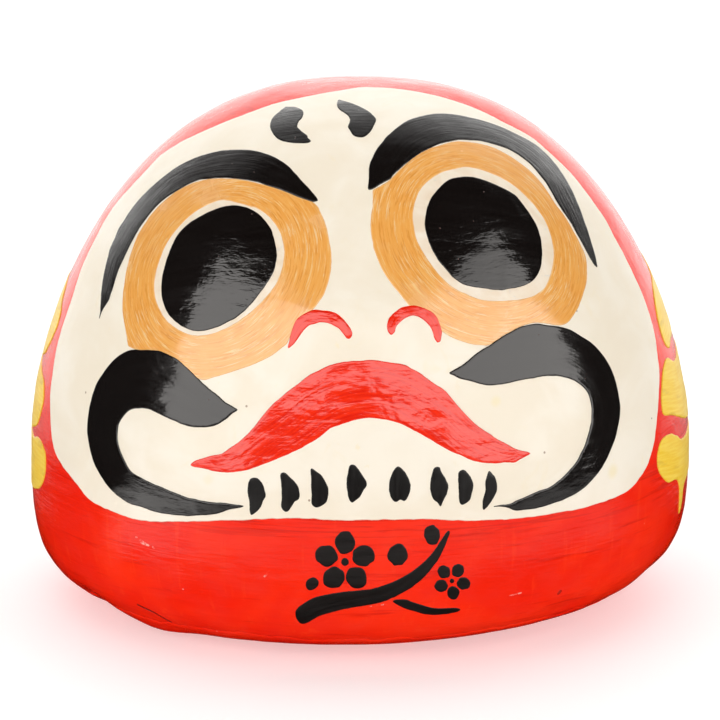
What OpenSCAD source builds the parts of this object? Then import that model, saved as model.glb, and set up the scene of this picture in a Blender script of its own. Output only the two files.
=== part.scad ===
// Daruma doll: a hollow papier-mache body, slit up the back to free it from its
// mould and closed with a pasted paper strip, with a clay weight on a card disc
// that plugs the foot. The face, whiskers and side strokes are raised films of
// thick paint. Millimetres, +Z up, the face looks along -Y, and the origin is
// the middle of the resting face under the foot.

/* [Body] */
// Width of the paper body at its widest ring
body_w = 210; // [150:1:260]
// Height of the crown above the surface the doll stands on
body_h = 163; // [130:1:200]
// Height of the widest ring
belly_z = 50; // [36:1:60]
// Radius of the flat foot
foot_r = 58; // [50:0.5:70]
// Thickness of the moulded paper wall
wall = 2.4; // [1.6:0.1:4]

/* [Back seam] */
// Width of the slit that the mould came out of
slit_w = 1.2; // [0.6:0.1:3]
// Height at which the slit ends
slit_top = 132; // [90:1:145]
// Width of the paper strip pasted over the slit
strip_w = 17; // [10:1:30]
// Thickness of pasted paper, for the strip, the foot band and the foot paper
pasted = 0.6; // [0.4:0.1:1]

/* [Foot] */
// Radius of the opening in the foot
plug_r = 46; // [36:0.5:49]
// Thickness of the card disc that closes the opening
card_t = 2.4; // [1.5:0.1:4]
// Thickness of the clay weight at its middle
clay_t = 15; // [8:0.5:24]
// Height that the foot band laps up the outside
band_top = 9; // [5:0.5:16]

/* [Paint] */
// Thickness of the face coat
coat = 0.3; // [0.2:0.05:0.6]
// Thickness of the strokes painted on top
stroke = 0.25; // [0.15:0.05:0.5]
// Size of one grid unit of the face cartoon
unit = 0.319; // [0.25:0.001:0.36]

/* [Hidden] */
rm = body_w / 2;
// Powers of the two superellipses that make the outline above and below the belly
up_z = 1.64;
up_r = 2.46;
lo_z = 4.3;
lo_r = 2.35;
// The cartoon is drawn on a sheet square to a line of sight that looks down at
// this angle, from this far away, at the middle of the body
sight = 12;
sight_d = 1200;
hc = body_h / 2;
eye_pt = [0, -sight_d * cos(sight), hc + sight_d * sin(sight)];
black = [0.03, 0.03, 0.03];
red = [0.85, 0.1, 0.03];
cream = [0.93, 0.88, 0.76];
ochre = [0.9, 0.6, 0.28];
gold = [0.97, 0.8, 0.12];
card = [0.62, 0.52, 0.38];
clay = [0.5, 0.42, 0.34];

// ---- the body's outline ----
// Radius of the outside at height z
function radius(z) =
    z >= belly_z
    ? let (q = min(1, (z - belly_z) / (body_h - belly_z)))
      rm * pow(max(0, 1 - pow(q, up_z)), 1 / up_r)
    : let (q = min(1, (belly_z - z) / (belly_z - pasted)))
      foot_r + (rm - foot_r) * pow(max(0, 1 - pow(q, lo_z)), 1 / lo_r);
// A point of the outline, for t from 0 at the foot to 1 at the crown
function rim(t) =
    t <= 0.4
    ? let (a = 90 * (1 - t / 0.4))
      [foot_r + (rm - foot_r) * pow(cos(a), 2 / lo_r),
       belly_z - (belly_z - pasted) * pow(sin(a), 2 / lo_z)]
    : let (a = 90 * (t - 0.4) / 0.6)
      [rm * pow(max(0, cos(a)), 2 / up_r),
       belly_z + (body_h - belly_z) * pow(sin(a), 2 / up_z)];
function unit2(v) = v / norm(v);
function rim_normal(t) =
    let (d = unit2(rim(min(1, t + 0.002)) - rim(max(0, t - 0.002)))) [d[1], -d[0]];
// The outline moved out by off, or in where off is under 0
function rim_off(t, off) = let (p = rim(t) + off * rim_normal(t)) [max(0, p[0]), p[1]];
// Outline points from t0 to t1 in n steps, moved by off
function run(t0, t1, n, off) = [for (i = [0:n]) rim_off(t0 + (t1 - t0) * i / n, off)];
function back(v) = [for (i = [len(v) - 1:-1:0]) v[i]];
// The t at which the outline below the belly reaches height z
function low_t(z, a = 0, b = 0.4, n = 20) =
    n == 0 ? (a + b) / 2
    : let (m = (a + b) / 2) rim(m)[1] < z ? low_t(z, m, b, n - 1) : low_t(z, a, m, n - 1);

// ---- painting on the curved body ----
// Where the line of sight through a cartoon point first meets the body
function on_sight(g, s) =
    let (sheet = [g[0] * unit, g[1] * unit * sin(sight), hc + g[1] * unit * cos(sight)])
    eye_pt + s * (sheet - eye_pt);
function outside(p) = norm([p[0], p[1]]) > radius(p[2]);
function meet(g, a = 0.86, b = 1, n = 17) =
    n == 0 ? on_sight(g, (a + b) / 2)
    : let (m = (a + b) / 2) outside(on_sight(g, m)) ? meet(g, m, b, n - 1) : meet(g, a, m, n - 1);
// A point at a given bearing from the front and height
function at_side(p) = let (r = radius(p[1])) [r * sin(p[0]), -r * cos(p[0]), p[1]];
function outward(p) =
    let (slope = (radius(p[2] + 0.05) - radius(p[2] - 0.05)) / 0.1,
         flat = unit2([p[0], p[1]]),
         n = [flat[0], flat[1], -slope])
    n / norm(n);
function lift(p, off) = p + off * outward(p);

// ---- smooth curves through hand-set points ----
function bend(p0, p1, p2, p3, t) =
    0.5 * ((2 * p1) + (p2 - p0) * t + (2 * p0 - 5 * p1 + 4 * p2 - p3) * t * t
           + (3 * p1 - p0 - 3 * p2 + p3) * t * t * t);
function along(P, s) =
    let (n = len(P), i = min(floor(s), n - 2), t = s - i)
    bend(P[max(0, i - 1)], P[i], P[i + 1], P[min(n - 1, i + 2)], t);
function around(P, s) =
    let (n = len(P), i = floor(s) % n, t = s - floor(s))
    bend(P[(i + n - 1) % n], P[i], P[(i + 1) % n], P[(i + 2) % n], t);
function mix(a, b, t) = a + (b - a) * t;
function cross_sum(P) =
    let (n = len(P)) sum([for (i = [0:n - 1]) P[i][0] * P[(i + 1) % n][1] - P[(i + 1) % n][0] * P[i][1]]);
function sum(v, i = 0, s = 0) = i == len(v) ? s : sum(v, i + 1, s + v[i]);

// ---- films ----
// A film from a grid of surface points G[i][j], between two lifts. It is closed
// round i when loop is true.
module film(G, lo, hi, loop = false) {
    ni = len(G);
    nj = len(G[0]);
    top = [for (i = [0:ni - 1]) for (j = [0:nj - 1]) lift(G[i][j], hi)];
    bottom = [for (i = [0:ni - 1]) for (j = [0:nj - 1]) lift(G[i][j], lo)];
    N = ni * nj;
    last = loop ? ni - 1 : ni - 2;
    faces = [
        for (i = [0:last]) for (j = [0:nj - 2])
            let (a = i * nj + j, b = ((i + 1) % ni) * nj + j)
            each [[a, b, a + 1], [a + 1, b, b + 1],
                  [N + a, N + a + 1, N + b], [N + a + 1, N + b + 1, N + b]],
        for (i = [0:last])
            let (a = i * nj, b = ((i + 1) % ni) * nj, c = a + nj - 1, d = b + nj - 1)
            each [[a, N + a, b], [b, N + a, N + b], [c, d, N + c], [d, N + d, N + c]],
        if (!loop) for (j = [0:nj - 2])
            let (a = j, b = (ni - 1) * nj + j)
            each [[a, a + 1, N + a], [a + 1, N + a + 1, N + a],
                  [b, N + b, b + 1], [b + 1, N + b, N + b + 1]]
    ];
    polyhedron(concat(top, bottom), faces);
}
// A brush stroke between two edges, each a list of the same number of points
module ribbon(A, B, lo, hi, ni, nj, side = false) {
    turn = cross_sum(concat(A, back(B))) < 0;
    P = turn ? A : B;
    Q = turn ? B : A;
    film([for (i = [0:ni]) let (s = (len(A) - 1) * i / ni, p = along(P, s), q = along(Q, s))
          [for (j = [0:nj]) let (g = mix(p, q, j / nj)) side ? at_side(g) : meet(g)]],
         lo, hi);
}
// A painted ring between two closed edges
module ring(A, B, lo, hi, ni, nj) {
    turn = cross_sum(B) < 0;
    P = turn ? B : A;
    Q = turn ? A : B;
    film([for (i = [0:ni - 1]) let (s = len(A) * i / ni, p = around(P, s), q = around(Q, s))
          [for (j = [0:nj]) meet(mix(p, q, j / nj))]],
         lo, hi, true);
}
// A filled patch round the point c
module patch(c, P, lo, hi, ni, nj) {
    turn = cross_sum(P) < 0;
    S = turn ? back(P) : P;
    G = [for (i = [0:ni - 1]) let (p = around(S, len(S) * i / ni))
         [for (j = [1:nj]) meet(mix(c, p, j / nj))]];
    mid = meet(c);
    top = [for (i = [0:ni - 1]) for (j = [0:nj - 1]) lift(G[i][j], hi)];
    bottom = [for (i = [0:ni - 1]) for (j = [0:nj - 1]) lift(G[i][j], lo)];
    N = ni * nj;
    faces = [
        for (i = [0:ni - 1])
            let (a = i * nj, b = ((i + 1) % ni) * nj, e = a + nj - 1, f = b + nj - 1)
            each concat(
                [[2 * N, b, a], [2 * N + 1, N + a, N + b], [e, f, N + e], [f, N + f, N + e]],
                [for (j = [0:nj - 2]) each [[a + j, b + j, a + j + 1], [a + j + 1, b + j, b + j + 1],
                                            [N + a + j, N + a + j + 1, N + b + j],
                                            [N + a + j + 1, N + b + j + 1, N + b + j]]])
    ];
    polyhedron(concat(top, bottom, [lift(mid, hi), lift(mid, lo)]), faces);
}
function oval(c, rx, ry, tilt = 0, n = 10) =
    [for (i = [0:n - 1]) let (a = 360 * i / n, x = rx * cos(a), y = ry * sin(a))
     c + [x * cos(tilt) - y * sin(tilt), x * sin(tilt) + y * cos(tilt)]];

// ---- the paper body and its foot ----
module paper_shell() {
    outer = run(0, 1, 96, 0);
    inner = run(0.02, 1, 72, -wall);
    color(red) difference() {
        rotate_extrude($fn = 128)
            polygon(concat([[plug_r, pasted]], outer, back(inner),
                           [[plug_r, inner[0][1]]]));
        // the slit up the back
        translate([-slit_w / 2, 0, -1]) cube([slit_w, rm + 10, slit_top + 1]);
    }
}
module back_seam_strip() {
    // pasted over the slit, from the foot band to just past the slit's top
    color(red) intersection() {
        rotate_extrude($fn = 128)
            polygon(concat(run(0.12, 0.93, 84, pasted), back(run(0.12, 0.93, 84, 0))));
        translate([-strip_w / 2, 0, band_top + 0.5])
            cube([strip_w, rm + 10, slit_top + 8 - band_top]);
    }
}
module foot_band() {
    // torn paper lapped round the foot's edge
    t1 = low_t(band_top);
    color(red) rotate_extrude($fn = 128)
        polygon(concat(run(0.006, t1, 30, pasted * 0.85), back(run(0.006, t1, 30, 0))));
}
module foot_paper() {
    color(card) cylinder(r = foot_r - 1.5, h = pasted, $fn = 128);
}
module foot_card() {
    color(card) translate([0, 0, pasted]) cylinder(r = plug_r - 0.1, h = card_t, $fn = 128);
}
module clay_weight() {
    r = plug_r - 2;
    z = pasted + card_t;
    color(clay) rotate_extrude($fn = 128)
        polygon(concat([[0, z], [r, z], [r, z + clay_t * 0.45]],
                       [for (i = [1:12]) let (a = 90 * i / 12)
                        [r * cos(a), z + clay_t * (0.45 + 0.55 * sin(a))]]));
}

// ---- the painted face: X right and Y up from the middle of the cartoon ----
face_mid = [-5, 20];
face_edge = [[5, 246], [50, 242], [88, 233], [125, 221], [158, 204], [187, 182],
    [216, 154], [240, 120], [263, 81], [283, 39], [296, -11], [299, -51], [296, -98],
    [285, -136], [264, -159], [232, -172], [188, -183], [130, -187], [60, -187],
    [0, -187], [-60, -184], [-120, -187], [-180, -189], [-230, -184], [-265, -169],
    [-289, -146], [-304, -114], [-309, -71], [-306, -26], [-294, 16], [-277, 64],
    [-255, 111], [-225, 152], [-190, 184], [-145, 214], [-95, 231], [-45, 242]];
module face_coat() color(cream) patch(face_mid, face_edge, 0, coat, 74, 13);

lp_mid = [-139, 66];
lp_edge = [[-129, 128], [-112, 125], [-97, 117], [-87, 101], [-82, 80], [-86, 61],
    [-98, 42], [-115, 24], [-136, 9], [-158, 3], [-176, 6], [-190, 18], [-198, 38],
    [-197, 62], [-187, 88], [-170, 109], [-151, 121]];
lr_in = [[-130, 133], [-110, 130], [-93, 121], [-81, 105], [-75, 82], [-78, 58],
    [-91, 36], [-111, 16], [-134, 2], [-158, -3], [-179, 1], [-196, 14], [-204, 36],
    [-203, 62], [-193, 90], [-176, 112], [-154, 127]];
lr_out = [[-128, 154], [-98, 148], [-67, 137], [-42, 126], [-29, 88], [-32, 49],
    [-59, 25], [-83, -16], [-117, -33], [-152, -44], [-177, -29], [-203, -15],
    [-231, -11], [-237, 22], [-231, 70], [-213, 110], [-178, 144]];
rp_mid = [124, 100];
rp_edge = [[108, 157], [125, 155], [142, 147], [158, 135], [169, 118], [179, 101],
    [183, 79], [178, 60], [163, 48], [143, 43], [120, 46], [98, 54], [80, 70],
    [68, 91], [64, 115], [71, 136], [87, 154]];
rr_in = [[105, 166], [127, 163], [148, 153], [168, 136], [183, 116], [192, 93],
    [194, 71], [186, 48], [168, 36], [144, 34], [118, 37], [93, 46], [71, 66],
    [58, 88], [53, 116], [61, 143], [81, 161]];
rr_out = [[100, 191], [130, 187], [161, 172], [186, 145], [206, 113], [222, 83],
    [227, 53], [219, 25], [197, 9], [162, 11], [124, -9], [90, -2], [77, 25],
    [33, 42], [12, 86], [13, 137], [49, 170]];
module eye_ring_left() color(ochre) ring(lr_in, lr_out, coat, coat + stroke, 51, 4);
module eye_ring_right() color(ochre) ring(rr_in, rr_out, coat, coat + stroke, 51, 4);
module eye_white_left() color([0.95, 0.92, 0.84])
    ring(0.88 * lp_edge + 0.12 * lr_in, 0.1 * lp_edge + 0.9 * lr_in, coat, coat + 0.6 * stroke, 51, 1);
module eye_white_right() color([0.95, 0.92, 0.84])
    ring(0.88 * rp_edge + 0.12 * rr_in, 0.1 * rp_edge + 0.9 * rr_in, coat, coat + 0.6 * stroke, 51, 1);
module pupil_left() color(black) patch(lp_mid, lp_edge, coat, coat + stroke, 34, 4);
module pupil_right() color(black) patch(rp_mid, rp_edge, coat, coat + stroke, 34, 4);

module brow_left() color(black) ribbon(
    [[-260, 14], [-258, 42], [-253, 70], [-242, 99], [-224, 127], [-200, 153],
     [-166, 174], [-128, 183], [-98, 181], [-75, 170], [-57, 152], [-42, 134]],
    [[-258, 15], [-248, 41], [-238, 71], [-225, 96], [-207, 121], [-182, 145],
     [-154, 154], [-128, 156], [-103, 152], [-80, 145], [-59, 137], [-44, 132]],
    coat, coat + stroke, 33, 3);
module brow_right() color(black) ribbon(
    [[8, 145], [9, 168], [21, 190], [44, 209], [76, 219], [111, 216], [145, 206],
     [175, 190], [198, 165], [216, 134], [228, 101], [237, 67]],
    [[11, 143], [29, 154], [47, 172], [67, 186], [90, 193], [114, 194], [139, 187],
     [162, 175], [184, 156], [202, 124], [219, 94], [235, 67]],
    coat, coat + stroke, 33, 3);
module forehead_marks() color(black) {
    ribbon([[-73, 226], [-81, 220], [-88, 213], [-89, 205], [-86, 198], [-78, 192], [-65, 190], [-51, 190]],
           [[-59, 224], [-57, 218], [-61, 212], [-63, 208], [-62, 203], [-57, 198], [-53, 195], [-49, 193]],
           coat, coat + stroke, 14, 2);
    ribbon([[-19, 234], [-10, 231], [0, 227], [9, 222], [15, 215], [14, 207], [9, 200], [3, 196]],
           [[-22, 231], [-22, 225], [-18, 221], [-12, 217], [-10, 212], [-12, 206], [-9, 200], [-4, 197]],
           coat, coat + stroke, 14, 2);
}
module nostril_left() color(red) ribbon(
    [[-73, -12], [-70, -1], [-63, 13], [-55, 20], [-45, 24], [-32, 24], [-20, 18], [-11, 7], [-8, -3]],
    [[-71, -14], [-63, -7], [-56, 4], [-49, 9], [-41, 12], [-33, 11], [-25, 7], [-18, 0], [-13, -5]],
    coat, coat + stroke, 20, 2);
module nostril_right() color(red) ribbon(
    [[27, 2], [28, 12], [31, 19], [39, 26], [52, 29], [64, 26], [74, 17], [79, 5], [80, -8]],
    [[31, -1], [36, 6], [41, 13], [47, 17], [54, 18], [62, 15], [68, 8], [73, -1], [76, -9]],
    coat, coat + stroke, 20, 2);
module mouth() color(red) ribbon(
    [[-169, -130], [-154, -123], [-136, -118], [-117, -103], [-97, -82], [-76, -61],
     [-53, -43], [-26, -30], [6, -26], [38, -29], [64, -42], [87, -61], [110, -84],
     [139, -105], [156, -114], [170, -118]],
    [[-169, -132], [-150, -137], [-128, -139], [-104, -134], [-79, -123], [-56, -112],
     [-35, -98], [-14, -89], [12, -84], [36, -88], [58, -99], [80, -112], [105, -125],
     [134, -130], [155, -128], [170, -120]],
    coat, coat + stroke, 45, 4);
module moustache_left() color(black) ribbon(
    [[-121, -75], [-138, -65], [-155, -50], [-174, -34], [-193, -21], [-213, -16],
     [-233, -17], [-250, -29], [-262, -48], [-269, -74], [-272, -100], [-267, -124],
     [-256, -145], [-241, -162], [-220, -172], [-192, -180], [-158, -182], [-132, -177],
     [-116, -173]],
    [[-121, -77], [-133, -86], [-152, -93], [-174, -91], [-194, -83], [-209, -76],
     [-222, -75], [-232, -78], [-239, -87], [-242, -99], [-242, -110], [-238, -123],
     [-231, -136], [-217, -145], [-200, -154], [-178, -162], [-152, -168], [-130, -171],
     [-116, -171]],
    coat, coat + stroke, 54, 4);
module moustache_right() color(black) ribbon(
    [[89, -38], [106, -29], [123, -15], [143, -1], [164, 7], [185, 9], [206, 5],
     [225, -5], [241, -22], [253, -42], [259, -66], [258, -94], [250, -120],
     [234, -146], [211, -163], [182, -172], [156, -176], [134, -173]],
    [[90, -40], [105, -47], [125, -51], [146, -50], [166, -46], [186, -41], [202, -43],
     [215, -48], [225, -58], [230, -71], [232, -83], [229, -100], [220, -121],
     [205, -141], [186, -154], [165, -163], [148, -170], [134, -172]],
    coat, coat + stroke, 54, 4);
// middle, half width, half height and tilt of each dab
whiskers = [[-103, -162, 8.5, 18, 4], [-71, -157, 9, 18.5, 10], [-40, -154, 8.5, 18.5, 8],
            [-4, -149, 10, 18.5, -2], [40, -151, 10.5, 17.5, 0], [79, -153, 8.5, 18, 2],
            [105, -154, 7, 17, 0], [129, -156, 7, 19, -12]];
module chin_whiskers() color(black)
    for (w = whiskers)
        patch([w[0], w[1]], oval([w[0], w[1]], w[2], w[3], w[4]), coat, coat + stroke, 20, 2);

// ---- strokes on the red: bearing from the front in degrees, and height ----
gold_left = [
    [[[77, 90.5], [79, 94], [86, 99], [98, 102], [105, 104.5], [112, 106.5]],
     [[77, 86.5], [80, 81], [86, 76.5], [95, 79.5], [105, 90.5], [113, 105]]],
    [[[73.5, 67.5], [76, 71.5], [84, 74.5], [96, 76], [104, 77.5], [112, 79]],
     [[73.5, 63.5], [77, 57.5], [86, 54], [96, 57], [105, 65], [113, 77.5]]],
    [[[69, 51], [72.5, 54.5], [80, 53], [93, 54.5], [103, 55.5], [111, 55.5]],
     [[69, 47], [72.5, 40.5], [80, 37], [92, 37.5], [103, 43], [112, 54]]]];
// the lowest stroke on this side ran: its lower edge hangs in a short drip
gold_right = [
    [[[74, 91.5], [76, 96], [81, 100], [92, 105], [104, 112], [111, 115.5]],
     [[74, 86], [76.5, 82.5], [82, 84], [92, 90], [102, 99], [111.5, 113]]],
    [[[65, 71], [68.5, 77.5], [73, 80], [82, 78], [98, 80.5], [112, 86]],
     [[65, 66], [70, 63], [79, 58.5], [88, 57.5], [100, 64.5], [112.5, 83.5]]],
    [[[60.5, 53.5], [64, 59], [70, 56.5], [73.5, 54.5], [77, 54], [88, 55], [101, 58], [111, 63]],
     [[61, 49.5], [64.5, 43.5], [71, 40.5], [73.5, 29], [76, 38.5], [86, 40.5], [98, 46.5], [111.5, 61]]]];
module gold_side(rows, m) {
    for (g = rows)
        ribbon([for (p = g[0]) [m * p[0], p[1]]], [for (p = g[1]) [m * p[0], p[1]]],
               0, coat, 28, 4, side = true);
}
module gold_strokes_left() color(gold) gold_side(gold_left, -1);
module gold_strokes_right() color(gold) gold_side(gold_right, 1);

// ---- a plum sprig on the belly, in cartoon units ----
bough = [[[-64, -277], [-46, -264], [-18, -258], [16, -254], [46, -241], [70, -222], [86, -199]],
         [[-58, -290], [-38, -281], [-10, -274], [22, -268], [54, -252], [76, -229], [89, -201]]];
twig = [[[33, -268], [50, -276], [72, -281], [97, -278]],
        [[42, -265], [56, -269], [74, -274], [98, -274]]];
blossom_mid = [-15, -228];
small_mid = [92, -247];
module belly_branch() color(black) {
    ribbon(bough[0], bough[1], 0, coat, 24, 2);
    ribbon(twig[0], twig[1], 0, coat, 10, 1);
    for (b = [[38, -221, 10, 11, -20], [72, -201, 8, 10, 10], [-48, -250, 7, 6, 40]])
        patch([b[0], b[1]], oval([b[0], b[1]], b[2], b[3], b[4]), 0, coat, 16, 1);
}
module flower(c, reach, size, spin) {
    for (k = [0:4])
        let (a = spin + 72 * k, p = c + reach * [cos(a), sin(a)])
        patch(p, oval(p, size * 1.04, size * 0.96, a), 0, coat, 20, 2);
    patch(c, oval(c, size * 0.36, size * 0.36), 0, coat, 12, 1);
}
module belly_blossom() color(black) {
    flower(blossom_mid, 19.5, 10.9, 90);
    flower(small_mid, 12, 6.5, 60);
}

paper_shell();
back_seam_strip();
foot_band();
foot_paper();
foot_card();
clay_weight();
face_coat();
eye_ring_left();
eye_ring_right();
eye_white_left();
eye_white_right();
pupil_left();
pupil_right();
brow_left();
brow_right();
forehead_marks();
nostril_left();
nostril_right();
mouth();
moustache_left();
moustache_right();
chin_whiskers();
gold_strokes_left();
gold_strokes_right();
belly_branch();
belly_blossom();
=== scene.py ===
import math
import bpy
import numpy as np
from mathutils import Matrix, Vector
from mathutils.bvhtree import BVHTree
from mathutils.geometry import delaunay_2d_cdt


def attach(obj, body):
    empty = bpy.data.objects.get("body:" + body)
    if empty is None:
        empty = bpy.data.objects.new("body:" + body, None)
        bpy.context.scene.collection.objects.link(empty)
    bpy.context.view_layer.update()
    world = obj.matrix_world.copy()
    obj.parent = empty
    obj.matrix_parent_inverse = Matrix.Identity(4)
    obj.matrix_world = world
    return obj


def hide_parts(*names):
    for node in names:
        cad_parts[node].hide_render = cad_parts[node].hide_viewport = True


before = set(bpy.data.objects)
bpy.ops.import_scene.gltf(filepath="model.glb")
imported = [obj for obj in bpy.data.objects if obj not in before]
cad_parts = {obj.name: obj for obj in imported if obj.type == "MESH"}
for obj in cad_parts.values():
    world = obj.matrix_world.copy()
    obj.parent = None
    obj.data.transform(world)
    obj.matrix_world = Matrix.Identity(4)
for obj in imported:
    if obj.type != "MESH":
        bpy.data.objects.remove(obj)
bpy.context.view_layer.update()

MM = 0.001
scene = bpy.context.scene

# ------------------------------------------------------------------ camera
H, SIGHT, DIST, FOCAL = 163.0, math.radians(12), 1200.0, 3760.9
ROW0 = 333.9
TARGET = np.array([0, 0, H / 2])
EYE = TARGET + DIST * np.array([0, -math.cos(SIGHT), math.sin(SIGHT)])
FWD = np.array([0, math.cos(SIGHT), -math.sin(SIGHT)])
UPV = np.array([0, math.sin(SIGHT), math.cos(SIGHT)])
RGT = np.array([1.0, 0, 0])
cam_data = bpy.data.cameras.new("camera")
cam = bpy.data.objects.new("camera", cam_data)
scene.collection.objects.link(cam)
cam_data.sensor_fit = "HORIZONTAL"
cam_data.sensor_width = 36.0
cam_data.lens = FOCAL * 36.0 / 720.0
cam_data.shift_y = -(360.0 - ROW0) / 720.0
cam_data.clip_start, cam_data.clip_end = 0.05, 50.0
cam.location = Vector(EYE * MM)
cam.rotation_euler = (math.radians(90 - 12), 0, 0)
scene.camera = cam
scene.view_settings.view_transform = "Standard"
scene.view_settings.look = "None"


def project(P):
    """Sheet position (X right, Y up from the middle) of body points in mm."""
    d = P - EYE
    w = d @ FWD
    return np.stack([FOCAL * (d @ RGT) / w, FOCAL * (d @ UPV) / w], 1)


# ------------------------------------------------------------------ smooth noise
def _table(seed):
    return np.random.default_rng(seed).uniform(-1, 1, (32, 32, 32))


_tables = {}


def noise(P, size, seed=0, octaves=1, gain=0.5):
    """Value noise in -1..1 at points P; size is one number or three, in the units of P."""
    out = np.zeros(len(P))
    amp = 1.0
    Q = np.asarray(P, float) / np.asarray(size, float)
    for o in range(octaves):
        key = seed * 17 + o
        if key not in _tables:
            _tables[key] = _table(key)
        T = _tables[key]
        q = Q * 2.0 ** o + 7.31 * (o + 1)
        i = np.floor(q).astype(int)
        f = q - i
        f = f * f * f * (f * (f * 6 - 15) + 10)
        i %= 32
        j = (i + 1) % 32
        x0, y0, z0, x1, y1, z1 = i[:, 0], i[:, 1], i[:, 2], j[:, 0], j[:, 1], j[:, 2]
        fx, fy, fz = f[:, 0], f[:, 1], f[:, 2]
        c00 = T[x0, y0, z0] * (1 - fx) + T[x1, y0, z0] * fx
        c10 = T[x0, y1, z0] * (1 - fx) + T[x1, y1, z0] * fx
        c01 = T[x0, y0, z1] * (1 - fx) + T[x1, y0, z1] * fx
        c11 = T[x0, y1, z1] * (1 - fx) + T[x1, y1, z1] * fx
        out += amp * ((c00 * (1 - fy) + c10 * fy) * (1 - fz) + (c01 * (1 - fy) + c11 * fy) * fz)
        amp *= gain
    return out


def sstep(a, b, x):
    t = np.clip((x - a) / (b - a), 0, 1)
    return t * t * (3 - 2 * t)


# ------------------------------------------------------------------ the body's skin
Z0 = 55.0                       # middle that bearings and elevations are taken from
RM, ZB, RB, FOOT_Z = 105.0, 50.0, 58.0, 0.6
_a = np.radians(np.linspace(90, 0, 900))
_lo = np.stack([RB + (RM - RB) * np.cos(_a) ** (2 / 2.35), ZB - (ZB - FOOT_Z) * np.sin(_a) ** (2 / 4.3)], 1)
_a = np.radians(np.linspace(0, 90, 900))
_up = np.stack([RM * np.cos(_a) ** (2 / 2.46), ZB + (H - ZB) * np.sin(_a) ** (2 / 1.64)], 1)
PROF = np.concatenate([_lo, _up[1:]])
PROF[-1, 0] = 0.0
PB = np.arctan2(PROF[:, 1] - Z0, PROF[:, 0])
PR = np.hypot(PROF[:, 1] - Z0, PROF[:, 0])
PS = np.concatenate([[0], np.cumsum(np.hypot(*np.diff(PROF, axis=0).T))])
BETA0, BETA1 = PB[0], PB[-1]


def base_point(phi, beta):
    r = np.interp(beta, PB, PR)
    c = np.cos(beta) * r
    return np.stack([c * np.sin(phi), -c * np.cos(phi), Z0 + r * np.sin(beta)], 1)


def base_normal(phi, beta):
    h = 0.004
    b0, b1 = np.maximum(beta - h, BETA0), np.minimum(beta + h, BETA1)
    r0, r1 = np.interp(b0, PB, PR), np.interp(b1, PB, PR)
    dr = np.cos(b1) * r1 - np.cos(b0) * r0
    dz = np.sin(b1) * r1 - np.sin(b0) * r0
    L = np.hypot(dr, dz)
    nr, nz = dz / L, -dr / L
    return np.stack([nr * np.sin(phi), -nr * np.cos(phi), nz], 1)


# lumps: sheet X, sheet Y, half width x, half width y (mm), height (mm)
LUMPS = [
    (5, 6, 20, 17, 1.9),        # the nose
    (4, -24, 30, 9, -0.5),
    (-202, -289, 12, 6, 1.5),   # lapped paper low on the left
    (-262, -262, 9, 8, -1.1),
    (291, -243, 9, 6, -0.8),
    (206, -276, 9, 4, -0.7),
    (-120, 92, 44, 40, 0.7),    # eyes stand a little proud
    (130, 92, 44, 40, 0.7),
    (-255, 40, 16, 40, 0.5),
    (-30, 215, 30, 14, 0.5),
]
_lump_at = None


def relief(P, phi, beta):
    """Height of the pressed paper over the plain form, mm."""
    h = 0.20 * noise(P, (46, 46, 34), 1) + 0.12 * noise(P, (22, 22, 15), 2, 2)
    h += 0.075 * noise(P, (12, 12, 6.5), 3, 2) + 0.030 * noise(P, (7, 7, 2.6), 4, 2)
    ridge = 1 - np.abs(noise(P, (34, 34, 20), 5))
    h += 0.05 * sstep(0.90, 1.0, ridge)          # lapped edges of the paper strips
    if _lump_at is not None:
        for (q, ex, ey, ax, ay, hh) in _lump_at:
            d = P - q
            near = np.exp(-((d @ ex) / ax) ** 2 - ((d @ ey) / ay) ** 2 - ((d @ np.cross(ex, ey)) / 60) ** 2)
            h += hh * near
    return h


def surface(phi, beta):
    P = base_point(phi, beta)
    n = base_normal(phi, beta)
    z = P[:, 2]
    fade = sstep(0.7, 4.0, z)
    P2 = P + n * (relief(P, phi, beta) * fade)[:, None]
    tilt = sstep(0.7, 3.0, z) * (1 - sstep(22, 64, z))
    P2[:, 2] += 1.75 * np.sin(np.clip(P[:, 0] / 78.0, -1.4, 1.4)) * tilt
    return P2


def lifted(phi, beta, h):
    """Body surface moved out by h mm, along the true skin's normal."""
    e = 0.0045
    b0, b1 = np.maximum(beta - e, BETA0), np.minimum(beta + e, BETA1)
    du = surface(phi + e, beta) - surface(phi - e, beta)
    dv = surface(phi, b1) - surface(phi, b0)
    n = np.cross(du, dv)
    L = np.linalg.norm(n, axis=1)
    bn = base_normal(phi, beta)
    n = np.where((L > 1e-7)[:, None], n / np.maximum(L, 1e-9)[:, None], bn)
    n = np.where((np.sum(n * bn, 1) < 0.5)[:, None], bn, n)
    return surface(phi, beta) + n * np.asarray(h)[:, None]


def to_angles(d):
    return np.arctan2(d[:, 0], -d[:, 1]), np.arctan2(d[:, 2], np.hypot(d[:, 0], d[:, 1]))


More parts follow.
